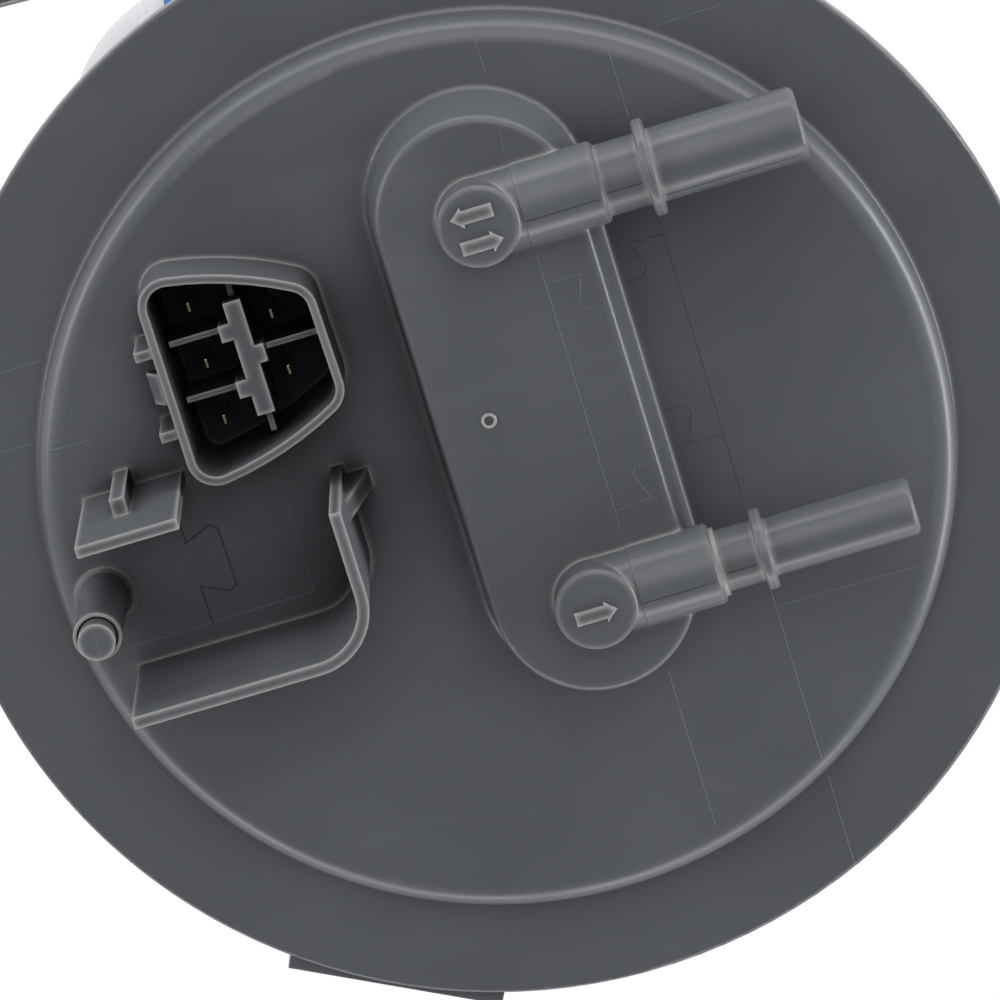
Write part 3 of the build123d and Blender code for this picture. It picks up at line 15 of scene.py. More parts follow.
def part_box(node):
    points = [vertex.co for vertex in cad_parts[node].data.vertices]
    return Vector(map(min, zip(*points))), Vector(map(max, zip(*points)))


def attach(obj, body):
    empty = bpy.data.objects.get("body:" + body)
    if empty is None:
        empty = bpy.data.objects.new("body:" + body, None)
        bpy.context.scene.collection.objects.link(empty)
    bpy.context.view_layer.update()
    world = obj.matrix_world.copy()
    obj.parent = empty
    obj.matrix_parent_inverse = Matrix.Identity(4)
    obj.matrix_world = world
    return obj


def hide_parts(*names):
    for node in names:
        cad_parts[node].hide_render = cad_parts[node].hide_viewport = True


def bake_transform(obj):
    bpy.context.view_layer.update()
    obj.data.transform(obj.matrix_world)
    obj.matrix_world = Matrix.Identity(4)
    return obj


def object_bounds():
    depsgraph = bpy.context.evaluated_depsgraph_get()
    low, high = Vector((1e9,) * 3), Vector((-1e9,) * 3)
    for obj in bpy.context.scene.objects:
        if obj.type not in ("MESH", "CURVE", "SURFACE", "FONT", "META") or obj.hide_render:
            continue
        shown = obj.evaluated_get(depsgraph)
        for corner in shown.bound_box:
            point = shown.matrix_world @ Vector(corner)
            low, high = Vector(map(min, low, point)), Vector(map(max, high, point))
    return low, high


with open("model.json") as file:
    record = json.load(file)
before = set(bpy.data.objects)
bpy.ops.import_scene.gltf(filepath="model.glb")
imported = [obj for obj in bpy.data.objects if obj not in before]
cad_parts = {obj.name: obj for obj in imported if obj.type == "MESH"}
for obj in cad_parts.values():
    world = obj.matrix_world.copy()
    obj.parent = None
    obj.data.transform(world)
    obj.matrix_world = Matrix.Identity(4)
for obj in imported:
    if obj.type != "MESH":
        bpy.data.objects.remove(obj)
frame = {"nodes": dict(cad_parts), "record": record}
cad_low, cad_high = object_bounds()
MM = 0.001

# ------------------------------------------------------------------------------ driving dimensions
rim_top = 3.5
plateau_top = 10.5
boss_top = 22.5
disc_top = 28.5
post_height = 22.8
tube_axis_z = 22.58
disc_centres = {"return": (8.1, 36.85), "supply": (8.1, -17.1)}

# relief arrows on the elbow discs
arrow_length = 5.75
arrow_shaft_width = 1.9
arrow_head_width = 2.9
arrow_head_length = 1.65
arrow_height = 0.3
arrow_edge = 0.12

# lines left by the mould's inserts
witness_width = 0.14
witness_height = 0.025
insert_left = 14.0
insert_right = 30.4
seam_size = 0.05
elbow_radius = 5.42
hoop_start, hoop_step, hoop_points = -8.0, 6.125, 33

# springs, hoses and wires
rod_radius = 4.0
lift_wire = 0.75
lift_radius = 6.2
lift_turns = 8.5
check_wire = 0.18
check_radius = 1.25
check_turns = 7
brush_wire = 0.2
brush_radius = 1.4
brush_turns = 5
wire_radius = 0.9
end_clearance = 0.3
return_outer, return_bore = 4.75, 3.3
supply_outer, supply_bore = 4.0, 2.6

# mark where the mould was filled: a small ring on the boss
gate_x, gate_y = 1.6, 10.2
gate_radius, gate_line = 0.85, 0.22
gate_points = 32

# floor
floor_size = 6.0
floor_drop = 0.0002

# ------------------------------------------------------------------------------ material helpers


class Look:
    """A node material with short calls for the few nodes that the looks here use."""

    def __init__(self, name, metallic=0.0, ior=1.5):
        self.material = bpy.data.materials.new(name)
        self.material.use_nodes = True
        self.nodes = self.material.node_tree.nodes
        self.links = self.material.node_tree.links
        self.shader = self.nodes["Principled BSDF"]
        self.shader.inputs["Metallic"].default_value = metallic
        self.shader.inputs["IOR"].default_value = ior
        self.place = self.nodes.new("ShaderNodeTexCoord").outputs["Object"]

    def noise(self, scale, detail=3.0, stretch=(1, 1, 1)):
        """Noise over the part's own coordinates, with features of about 1 / scale metres."""
        mapping = self.nodes.new("ShaderNodeMapping")
        mapping.inputs["Scale"].default_value = stretch
        self.links.new(self.place, mapping.inputs["Vector"])
        node = self.nodes.new("ShaderNodeTexNoise")
        node.inputs["Scale"].default_value = scale
        node.inputs["Detail"].default_value = detail
        self.links.new(mapping.outputs["Vector"], node.inputs["Vector"])
        return node.outputs["Fac"]

    def span(self, value, low, high, start=0.3, end=0.7):
        """Carries a 0 to 1 pattern into the range low to high."""
        node = self.nodes.new("ShaderNodeMapRange")
        node.inputs["From Min"].default_value = start
        node.inputs["From Max"].default_value = end
        node.inputs["To Min"].default_value = low
        node.inputs["To Max"].default_value = high
        self.links.new(value, node.inputs["Value"])
        return node.outputs["Result"]

    def mix(self, amount, first, second):
        """Colour between two colours or two colour outputs."""
        node = self.nodes.new("ShaderNodeMix")
        node.data_type = "RGBA"
        self.links.new(amount, node.inputs["Factor"])
        for socket, colour in ((node.inputs["A"], first), (node.inputs["B"], second)):
            if isinstance(colour, bpy.types.NodeSocket):
                self.links.new(colour, socket)
            else:
                socket.default_value = (*colour, 1.0)
        return node.outputs["Result"]

    def edges(self, radius, sharp=0.8, flat=0.985):
        """0 on open faces, rising to 1 along edges and in corners, over the given distance."""
        rounded = self.nodes.new("ShaderNodeBevel")
        rounded.samples = 8
        rounded.inputs["Radius"].default_value = radius
        geometry = self.nodes.new("ShaderNodeNewGeometry")
        agreement = self.nodes.new("ShaderNodeVectorMath")
        agreement.operation = "DOT_PRODUCT"
        self.links.new(rounded.outputs["Normal"], agreement.inputs[0])
        self.links.new(geometry.outputs["Normal"], agreement.inputs[1])
        return self.span(agreement.outputs["Value"], 1.0, 0.0, sharp, flat)

    def openness(self, distance, low=0.2, high=0.75):
        """1 where the surface lies open, falling to 0 deep in corners of about the given size."""
        node = self.nodes.new("ShaderNodeAmbientOcclusion")
        node.samples = 8
        node.inputs["Distance"].default_value = distance
        return self.span(node.outputs["AO"], 0.0, 1.0, low, high)

    def within(self, radius, fade):
        """1 inside a radius about the part's own Z axis, falling to 0 over the given fade."""
        flat = self.nodes.new("ShaderNodeMapping")
        flat.inputs["Scale"].default_value = (1, 1, 0)
        self.links.new(self.place, flat.inputs["Vector"])
        length = self.nodes.new("ShaderNodeVectorMath")
        length.operation = "LENGTH"
        self.links.new(flat.outputs["Vector"], length.inputs[0])
        return self.span(length.outputs["Value"], 1.0, 0.0, radius, radius + fade)

    def product(self, first, second):
        """Where both masks or patterns apply."""
        node = self.nodes.new("ShaderNodeMath")
        node.operation = "MULTIPLY"
        self.links.new(first, node.inputs[0])
        self.links.new(second, node.inputs[1])
        return node.outputs["Value"]

    def colour(self, output):
        self.links.new(output, self.shader.inputs["Base Color"])

    def roughness(self, output):
        self.links.new(output, self.shader.inputs["Roughness"])

    def bump(self, height, strength, distance, edge=0.0):
        """Surface relief, over edges that look rounded by the given radius."""
        node = self.nodes.new("ShaderNodeBump")
        node.inputs["Strength"].default_value = strength
        node.inputs["Distance"].default_value = distance
        self.links.new(height, node.inputs["Height"])
        if edge:
            rounded = self.nodes.new("ShaderNodeBevel")
            rounded.samples = 6
            rounded.inputs["Radius"].default_value = edge
            self.links.new(rounded.outputs["Normal"], node.inputs["Normal"])
        self.links.new(node.outputs["Normal"], self.shader.inputs["Normal"])


def shade(colour, factor):
    return tuple(min(1.0, channel * factor) for channel in colour)


def plastic(name, colour, rough=0.42, variation=0.08, grain=1500, edge=0.25 * MM, cloud=35, sheen=0.5):
    """Moulded plastic: faint cloudy colour, uneven gloss and a fine grain."""
    look = Look(name)
    look.shader.inputs["Specular IOR Level"].default_value = sheen
    clouds = look.noise(cloud, 4.0)
    light, dark = shade(colour, 1 + variation), shade(colour, 1 - variation)
    look.colour(look.mix(look.span(clouds, 0, 1), dark, light))
    look.roughness(look.span(look.noise(cloud * 3, 3.0), rough - 0.05, rough + 0.07))
    look.bump(look.noise(grain, 2.0), 0.12, 0.02 * MM, edge)
    return look.material


def metal(name, colour, rough=0.3, streak=(1, 1, 1), scale=900, edge=0.12 * MM):
    """Bare or plated metal with drawn or ground streaks."""
    look = Look(name, metallic=1.0)
    streaks = look.noise(scale, 3.0, streak)
    look.colour(look.mix(look.span(streaks, 0, 1), shade(colour, 0.88), shade(colour, 1.05)))
    look.roughness(look.span(streaks, rough - 0.06, rough + 0.08))
    look.bump(streaks, 0.15, 0.01 * MM, edge)
    return look.material


def rubber(name, colour, rough=0.62):
    look = Look(name)
    clouds = look.noise(120, 3.0)
    look.colour(look.mix(look.span(clouds, 0, 1), shade(colour, 0.8), shade(colour, 1.3)))
    look.roughness(look.span(clouds, rough - 0.06, rough + 0.08))
    look.bump(look.noise(2500, 2.0), 0.2, 0.02 * MM, 0.2 * MM)
    return look.material


def nylon(name, colour, clear=0.0, rough=0.28):
    """Extruded nylon line, a little see-through where it is natural."""
    look = Look(name)
    clouds = look.noise(60, 3.0)
    look.colour(look.mix(look.span(clouds, 0, 1), shade(colour, 0.98), shade(colour, 1.02)))
    look.roughness(look.span(look.noise(300, 2.0), rough - 0.03, rough + 0.05))
    look.bump(look.noise(900, 2.0), 0.05, 0.01 * MM)
    look.shader.inputs["Subsurface Weight"].default_value = clear
    look.shader.inputs["Subsurface Radius"].default_value = (0.002, 0.002, 0.0018)
    return look.material


def foam(name, colour):
    """Closed-cell foam with its small pores."""
    look = Look(name)
    pores = look.noise(1400, 4.0)
    look.colour(look.mix(look.span(pores, 0, 1), shade(colour, 0.6), shade(colour, 1.5)))
    look.roughness(look.span(pores, 0.75, 0.95))
    look.bump(pores, 0.5, 0.12 * MM, 0.4 * MM)
    return look.material


def mesh_cloth(name, colour):
    """Woven filter mesh."""
    look = Look(name)
    threads = []
    for direction in ("X", "Y"):
        wave = look.nodes.new("ShaderNodeTexWave")
        wave.bands_direction = direction
        wave.inputs["Scale"].default_value = 320
        wave.inputs["Distortion"].default_value = 0.3
        look.links.new(look.place, wave.inputs["Vector"])
        threads.append(wave.outputs["Fac"])
    output = look.product(*threads)
    look.colour(look.mix(output, shade(colour, 0.55), colour))
    look.roughness(look.span(output, 0.7, 0.9, 0, 1))
    look.bump(output, 0.6, 0.15 * MM)
    return look.material


def cover_plastic(name, colour, edge_highlight_grey=(0.42, 0.415, 0.4), corner_shade_factor=0.06, edge_highlight_reach=73.0):
    """The flange's plastic: flow clouds, faint streaks along X from the mould's flow, satin gloss,
    paler colour painted along edges and in corners as a painted highlight, and painted shade that darkens the
    colour and cuts the gloss in corners and hollows."""
    look = Look(name)
    clouds = look.noise(28, 5.0)
    streaks = look.noise(110, 4.0, (0.16, 1.0, 0.4))
    base = look.mix(look.span(clouds, 0, 1), shade(colour, 0.94), shade(colour, 1.06))
    streaked = look.mix(look.span(streaks, 0, 0.16, 0.5, 0.75), base, shade(colour, 1.5))
    # painted highlight: within the flange's reach the colour is lifted towards a pale grey along edges and in
    # corners
    edge_highlight_share = look.product(look.edges(1.5 * MM, 0.68, 0.998), look.within(edge_highlight_reach * MM, 1.5 * MM))
    edge_highlighted = look.mix(edge_highlight_share, streaked, edge_highlight_grey)
    # painted shade: where the occlusion mask finds corners and hollows, the colour darkens and the gloss drops
    corner_shade_colour = look.mix(look.span(clouds, 0, 1), shade(colour, corner_shade_factor), shade(colour, 2 * corner_shade_factor))
    unshaded_share = look.openness(24 * MM, 0.12, 0.64)
    look.colour(look.mix(unshaded_share, corner_shade_colour, edge_highlighted))
    look.links.new(look.span(unshaded_share, 0.04, 0.5, 0, 1), look.shader.inputs["Specular IOR Level"])
    look.roughness(look.span(look.noise(70, 4.0), 0.28, 0.4))
    look.bump(look.noise(1800, 2.0), 0.1, 0.02 * MM, 0.3 * MM)
    return look.material


# ------------------------------------------------------------------------------ materials by slot
cover_grey = (0.093, 0.099, 0.11)
natural = (0.53, 0.52, 0.475)

looks = {
    "flange_moulding": cover_plastic("moulded_grey", cover_grey),
    "terminal_gold": metal("gold_flash", (0.52, 0.43, 0.27), 0.24),
    "seal_rubber": rubber("seal_rubber", (0.022, 0.022, 0.024)),
    "rod_steel": metal("ground_rod", (0.68, 0.69, 0.71), 0.2, (1, 1, 0.05)),
    "clip_steel": metal("stamped_steel", (0.42, 0.43, 0.45), 0.34),
    "spring_steel": metal("spring_wire", (0.5, 0.51, 0.53), 0.27),
    "plug_plastic": plastic("plug_black", (0.006, 0.006, 0.007), 0.6, sheen=0.1),
    "supply_nylon": nylon("line_black", (0.02, 0.02, 0.022), 0.0, 0.3),
    "return_nylon": nylon("line_natural", (0.6, 0.6, 0.62), 0.1, 0.25),
    "clip_plastic": plastic("clip_blue", (0.004, 0.13, 0.42), 0.38),
    "wire_red": nylon("wire_red", (0.5, 0.02, 0.015), 0.0, 0.35),
    "wire_black": nylon("wire_black", (0.02, 0.02, 0.02), 0.0, 0.35),
    "wire_mixed": nylon("wire_tan", (0.42, 0.26, 0.06), 0.0, 0.35),
    "bucket_acetal": plastic("bucket_natural", natural, 0.45, 0.03),
    "lid_acetal": plastic("lid_black", (0.03, 0.03, 0.033), 0.42),
    "cradle_acetal": plastic("cradle_natural", shade(natural, 0.9), 0.45, 0.03),
    "can_steel": metal("zinc_can", (0.6, 0.6, 0.57), 0.32, (1, 1, 0.1), 500),
    "isolator_rubber": rubber("isolator_rubber", (0.03, 0.03, 0.032)),
    "cap_plastic": plastic("cap_dark", (0.045, 0.045, 0.05), 0.45),
    "plate_aluminium": metal("cast_plate", (0.66, 0.67, 0.69), 0.4),
    "thrust_steel": metal("thrust_steel", (0.5, 0.5, 0.5), 0.2),
    "bearing_bronze": metal("sintered_bronze", (0.55, 0.33, 0.14), 0.45),
    "shaft_steel": metal("ground_shaft", (0.66, 0.66, 0.67), 0.18, (1, 1, 0.05)),
    "lamination_steel": metal("lamination_stack", (0.25, 0.25, 0.26), 0.4, (0.05, 0.05, 3)),
    "winding_copper": metal("enamelled_copper", (0.62, 0.22, 0.08), 0.3, (0.2, 0.2, 2)),
    "commutator_carbon": plastic("commutator_carbon", (0.03, 0.03, 0.032), 0.3),
    "hub_plastic": plastic("hub_phenolic", (0.05, 0.03, 0.02), 0.4),
    "magnet_ferrite": plastic("ferrite", (0.04, 0.04, 0.043), 0.5),
    "brush_carbon": plastic("brush_carbon", (0.02, 0.02, 0.02), 0.5),
    "impeller_plastic": plastic("impeller_phenolic", (0.07, 0.045, 0.025), 0.38),
    "valve_plastic": plastic("valve_natural", natural, 0.4),
    "terminal_tin": metal("tinned_brass", (0.65, 0.64, 0.6), 0.3),
    "sock_mesh": mesh_cloth("filter_mesh", (0.66, 0.66, 0.6)),
    "frame_plastic": plastic("frame_natural", natural, 0.42),
    "jet_acetal": plastic("jet_black", (0.03, 0.03, 0.033), 0.42),
    "valve_rubber": rubber("valve_rubber", (0.06, 0.05, 0.045)),
    "sender_acetal": plastic("sender_black", (0.03, 0.03, 0.033), 0.42),
    "card_ceramic": plastic("card_ceramic", (0.64, 0.63, 0.59), 0.25),
    "arm_acetal": plastic("arm_natural", shade(natural, 1.05), 0.42),
    "contact_metal": metal("contact_strip", (0.62, 0.56, 0.42), 0.25),
    "arm_wire": metal("arm_wire", (0.16, 0.165, 0.17), 0.42),
    "float_foam": foam("float_foam", (0.035, 0.028, 0.022)),
}
# painted highlight: the raised parting lines are coloured paler than the cover, standing in for their lit
# edges
parting_line_highlight = plastic("parting_line_highlight", shade(cover_grey, 1.5), 0.5, 0.05, edge=0.0)
# painted shade: dark strips stand in for the shade inside gaps and seams that have no groove in the frame
gap_shade = plastic("gap_shade", shade(cover_grey, 0.25), 0.6, 0.05, edge=0.0)
slot_of = {row["node"]: row["material_slot"] for row in frame["record"]["subparts"]}

for node_name, node_object in frame["nodes"].items():
    material = looks[slot_of[node_name]]
    node_object.data.materials.clear()
    node_object.data.materials.append(material)

# ------------------------------------------------------------------------------ mesh helpers


def piece(name, mesh_data, node, body=None, look=None):
    """Adds a finished mesh with its node's material, or with the given look instead, and attaches it to the
    named body.
    """
    made = bpy.data.objects.new(name, mesh_data)
    bpy.context.scene.collection.objects.link(made)
    mesh_data.materials.append(look or looks[slot_of[node]])
    if body:
        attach(made, body)
    return made


def rounded_route(corners, share=0.45, step=2.0):
    """Centre line in mm: straight runs joined by the largest arcs that each corner has room for."""
    points = [Vector(c) for c in corners]
    route = [points[0]]

    def straight_to(target):
        start = route[-1]
        count = max(1, round((target - start).length / step))
        route.extend(start.lerp(target, k / count) for k in range(1, count + 1))

    for before, corner, after in zip(points, points[1:], points[2:]):
        run_in, run_out = corner - before, after - corner
        way_in, way_out = run_in.normalized(), run_out.normalized()
        tangent = share * min(run_in.length, run_out.length)
        half_turn = run_in.angle(run_out) / 2
        radius = tangent / tan(half_turn)
        straight_to(corner - way_in * tangent)
        centre = corner + (way_out - way_in).normalized() * radius / cos(half_turn)
        spoke = corner - way_in * tangent - centre
        axle = way_in.cross(way_out).normalized()
        count = max(3, round(2 * half_turn * radius / step), round(2 * half_turn / radians(6)))
        for k in range(1, count + 1):
            route.append(centre + Matrix.Rotation(2 * half_turn * k / count, 3, axle) @ spoke)
    straight_to(points[-1])
    return route


def coil_route(centre, base, top, radius, wire, turns, closed=1.0, per_turn=36):
    """Centre line in mm of a compression spring with closed ends."""
    height = top - base - 2 * wire
    open_turns = turns - 2 * closed
    closed_rise = 2 * wire * closed
    open_rise = height - 2 * closed_rise
    route = []
    for k in range(int(turns * per_turn) + 1):
        turn = k / per_turn
        if turn < closed:
            rise = closed_rise * turn / closed
        elif turn < turns - closed:
            rise = closed_rise + open_rise * (turn - closed) / open_turns
        else:
            rise = height - closed_rise * (turns - turn) / closed
        angle = 2 * pi * turn
        x, y = centre[0] + radius * cos(angle), centre[1] + radius * sin(angle)
        route.append(Vector((x, y, base + wire + rise)))
    return route


def swept(name, route, outer, bore=0.0, sides=28, ground=None):
    """Closed tube or wire mesh along a route in mm. Ground gives the two levels of flat-ground ends."""
    shell = bmesh.new()
    across = None
    rings = []
    for k, point in enumerate(route):
        ahead = route[min(k + 1, len(route) - 1)] - route[max(k - 1, 0)]
        way = ahead.normalized()
        if across is None:
            across = way.orthogonal().normalized()
        across = (across - way * across.dot(way)).normalized()
        beside = way.cross(across)
        circles = []
        for radius in (outer, bore) if bore else (outer,):
            circle = []
            for side in range(sides):
                angle = 2 * pi * side / sides
                spot = point + (across * cos(angle) + beside * sin(angle)) * radius
                if ground:
                    spot.z = min(max(spot.z, ground[0]), ground[1])
                circle.append(shell.verts.new(spot * MM))
            circles.append(circle)
        rings.append(circles)
    for first, second in zip(rings, rings[1:]):
        for layer in range(len(first)):
            for side in range(sides):
                after = (side + 1) % sides
                quad = [first[layer][side], first[layer][after], second[layer][after], second[layer][side]]
                shell.faces.new(quad if layer == 0 else quad[::-1])
    for end, flip in ((rings[0], True), (rings[-1], False)):
        if bore:
            for side in range(sides):
                after = (side + 1) % sides
                quad = [end[0][side], end[0][after], end[1][after], end[1][side]]
                shell.faces.new(quad if not flip else quad[::-1])
        else:
            shell.faces.new(end[0][::-1] if flip else end[0])
    bmesh.ops.recalc_face_normals(shell, faces=shell.faces)
    data = bpy.data.meshes.new(name)
    shell.to_mesh(data)
    shell.free()
    for face in data.polygons:
        face.use_smooth = len(face.vertices) == 4
    return data


# ------------------------------------------------------------------------------ springs
rods_low, rods_high = (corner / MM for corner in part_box("guide_rods"))
rod_centres = {
    "right": (rods_high.x - rod_radius, rods_high.y - rod_radius),
    "left": (rods_low.x + rod_radius, rods_low.y + rod_radius),
}
springs_low, springs_high = (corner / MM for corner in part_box("lift_springs"))
for side, (x, y) in rod_centres.items():
    path = coil_route((x, y), springs_low.z, springs_high.z, lift_radius, lift_wire, lift_turns)
    coil = piece(
        f"lift_spring_{side}",
        swept(f"lift_spring_{side}", path, lift_wire, sides=16, ground=(springs_low.z, springs_high.z)),
        "lift_springs",
    )
    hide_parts("lift_springs")
    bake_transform(coil)

check_low, check_high = (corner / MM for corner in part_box("check_spring"))
check_x, check_y = (check_low.x + check_high.x) / 2, (check_low.y + check_high.y) / 2
path = coil_route((check_x, check_y), check_low.z, check_high.z, check_radius, check_wire, check_turns)
check_coil = piece("check_coil", swept("check_coil", path, check_wire, sides=10), "check_spring")
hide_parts("check_spring")
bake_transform(check_coil)

brush_low, brush_high = (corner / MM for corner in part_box("brush_springs"))
brush_y = (brush_low.y + brush_high.y) / 2
brush_reach = brush_radius + brush_wire
for side, brush_x in (("left", brush_low.x + brush_reach), ("right", brush_high.x - brush_reach)):
    path = coil_route((brush_x, brush_y), brush_low.z, brush_high.z, brush_radius, brush_wire, brush_turns)
    brush_coil = piece(
        f"brush_spring_{side}", swept(f"brush_spring_{side}", path, brush_wire, sides=10),
        "brush_springs", "reservoir",
    )
    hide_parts("brush_springs")

# ------------------------------------------------------------------------------ hoses and wires
flange_end = -end_clearance
return_x, return_y = disc_centres["return"]
supply_x, supply_y = disc_centres["supply"]
jet_x, jet_y = -36.5, 8.9
lid_top = -108.0
loop_reach = 29.7
loop_x, loop_y = return_x - loop_reach, return_y - 2.0
return_corners = [(return_x, return_y, flange_end), (return_x, return_y, -42.0)]
for count, level in enumerate((-50.0, -60.0, -72.0), start=1):
    angle = radians(60 * count)
    return_corners.append((loop_x + loop_reach * cos(angle), loop_y + loop_reach * sin(angle), level))
return_corners += [(jet_x, jet_y, -84.0), (jet_x, jet_y, lid_top + end_clearance)]

outlet_x, outlet_y = 18.0, -22.0
cap_neck_top = -104.0
supply_corners = [
    (supply_x, supply_y, flange_end),
    (supply_x, supply_y, -26.0),
    (27.0, -36.0, -42.0),
    (27.0, -38.0, -60.0),
    (outlet_x, outlet_y, -74.0),
    (outlet_x, outlet_y, cap_neck_top + end_clearance),
]

wire_start = -7.2
blade_end = -96.65
red_corners = [
    (-22.3, 22.5, wire_start), (-22.3, 22.5, -38.0), (-10.0, 6.0, -62.0), (2.0, -12.0, -76.0),
    (3.0, -12.5, -83.0), (3.0, -12.5, blade_end),
]
black_corners = [
    (-32.5, 18.5, wire_start), (-32.5, 18.5, -42.0), (-16.0, -6.0, -66.0), (1.0, -19.0, -76.0),
    (3.0, -19.5, -84.0), (3.0, -19.5, blade_end),
]
sender_x, sender_y, sender_end = -6.0, 46.3, -126.9
sender_routes = {}
for label, (start_x, start_y), offset in (
    ("a", (-32.5, 34.5), -6.0), ("b", (-32.5, 26.5), 0.0), ("c", (-22.3, 30.5), 6.0),
):
    end_x = sender_x + offset
    sender_routes[label] = [
        (start_x, start_y, wire_start),
        (start_x, start_y, -40.0),
        (end_x - 6.0 + offset / 3, sender_y - 2.0, -88.0),
        (end_x, sender_y, -106.0),
        (end_x, sender_y, sender_end),
    ]


def between_bodies(made, node):
    """Hides the CAD node that a hose, wire or clip replaces and bakes the piece's placement into its mesh."""
    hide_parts(node)
    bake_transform(made)


tubes = {
    "return_line": ("return_hose", return_corners, return_outer, return_bore, 40, -16.0, -100.0),
    "supply_line": ("supply_hose", supply_corners, supply_outer, supply_bore, 36, -16.0, -90.0),
    "red_wire": ("pump_wire_red", red_corners, wire_radius, 0.0, 16, -12.0, -90.0),
    "black_wire": ("pump_wire_black", black_corners, wire_radius, 0.0, 16, -12.0, -90.0),
}
for label, corners in sender_routes.items():
    tubes[f"sender_wire_{label}"] = ("sender_wires", corners, wire_radius, 0.0, 16, -12.0, -105.0)
for name, (node, corners, outer, bore, sides, top, bottom) in tubes.items():
    line = piece(name, swept(name, rounded_route(corners), outer, bore, sides), node)
    between_bodies(line, node)

clip_mesh = frame["nodes"]["hose_clip"].data.copy()
clip_mesh.materials.clear()
between_bodies(piece("blue_clip", clip_mesh, "hose_clip"), "hose_clip")

# ------------------------------------------------------------------------------ relief on the flange


def arrow_outline(centre, direction):
    """Seven corners of a plain block arrow."""
    half = arrow_length / 2
    neck = half - arrow_head_length
    shaft, head = arrow_shaft_width / 2, arrow_head_width / 2
    shape = [
        (-half, -shaft), (neck, -shaft), (neck, -head), (half, 0), (neck, head), (neck, shaft), (-half, shaft),
    ]
    return [(centre[0] + direction * x, centre[1] + direction * y) for x, y in shape]


def raised_slab(name, outline, level, height, edge):
    """Closed slab in mm that stands on a face, its top drawn in by a small sloping edge."""
    count = len(outline)
    corners = [Vector(p) for p in outline]
    turning = sum(a.x * b.y - b.x * a.y for a, b in zip(corners, corners[1:] + corners[:1]))
    sense = 1 if turning > 0 else -1
    inner = []
    for k, corner in enumerate(corners):
        way_in = (corner - corners[k - 1]).normalized()
        way_out = (corners[(k + 1) % count] - corner).normalized()
        side_in, side_out = Vector((-way_in.y, way_in.x)), Vector((-way_out.y, way_out.x))
        lean = (side_in + side_out).normalized()
        inner.append(corner + lean * (sense * edge / max(0.3, lean.dot(side_in))))
    slab = bmesh.new()
    loops = [
        [slab.verts.new(Vector((c.x, c.y, z)) * MM) for c in ring]
        for ring, z in ((corners, level - height), (corners, level + height - edge), (inner, level + height))
    ]
    slab.faces.new(loops[0][::-1])
    slab.faces.new(loops[-1])
    for low, high in zip(loops, loops[1:]):
        for k in range(count):
            after = (k + 1) % count
            slab.faces.new([low[k], low[after], high[after], high[k]])
    bmesh.ops.recalc_face_normals(slab, faces=slab.faces)
    bmesh.ops.triangulate(slab, faces=slab.faces)
    data = bpy.data.meshes.new(name)
    slab.to_mesh(data)
    slab.free()
    return data


arrow_places = {
    "return_out": ((8.0, 34.6), 1),
    "return_in": ((7.65, 38.65), -1),
    "supply_out": ((7.95, -17.65), 1),
}
for label, (centre, direction) in arrow_places.items():
    outline = arrow_outline(centre, direction)
    piece(
        f"arrow_{label}", raised_slab(f"arrow_{label}", outline, disc_top, arrow_height, arrow_edge),
        "flange_cover", "flange",
    )


def witness(name, points, level, look=parting_line_highlight, width=witness_width):
    """Thin raised line that the mould's split leaves, along straight runs in mm."""
    strip = bmesh.new()
    half = width / 2
    for start, end in zip(points, points[1:]):
        a, b = Vector(start), Vector(end)
        way = (b - a).normalized()
        across = Vector((-way.y, way.x)) * half
        a, b = a - way * half, b + way * half
        foot = (a - across, b - across, b + across, a + across)
        crest = (a + way * half, b - way * half)
        low = [strip.verts.new(Vector((p.x, p.y, level - witness_height)) * MM) for p in foot]
        ridge = [strip.verts.new(Vector((p.x, p.y, level + witness_height)) * MM) for p in crest]
        strip.faces.new(low[::-1])
        strip.faces.new([low[0], low[1], ridge[1], ridge[0]])
        strip.faces.new([low[2], low[3], ridge[0], ridge[1]])
        strip.faces.new([low[1], low[2], ridge[1]])
        strip.faces.new([low[3], low[0], ridge[0]])
    bmesh.ops.recalc_face_normals(strip, faces=strip.faces)
    data = bpy.data.meshes.new(name)
    strip.to_mesh(data)
    strip.free()
    return piece(name, data, "flange_cover", "flange", look)


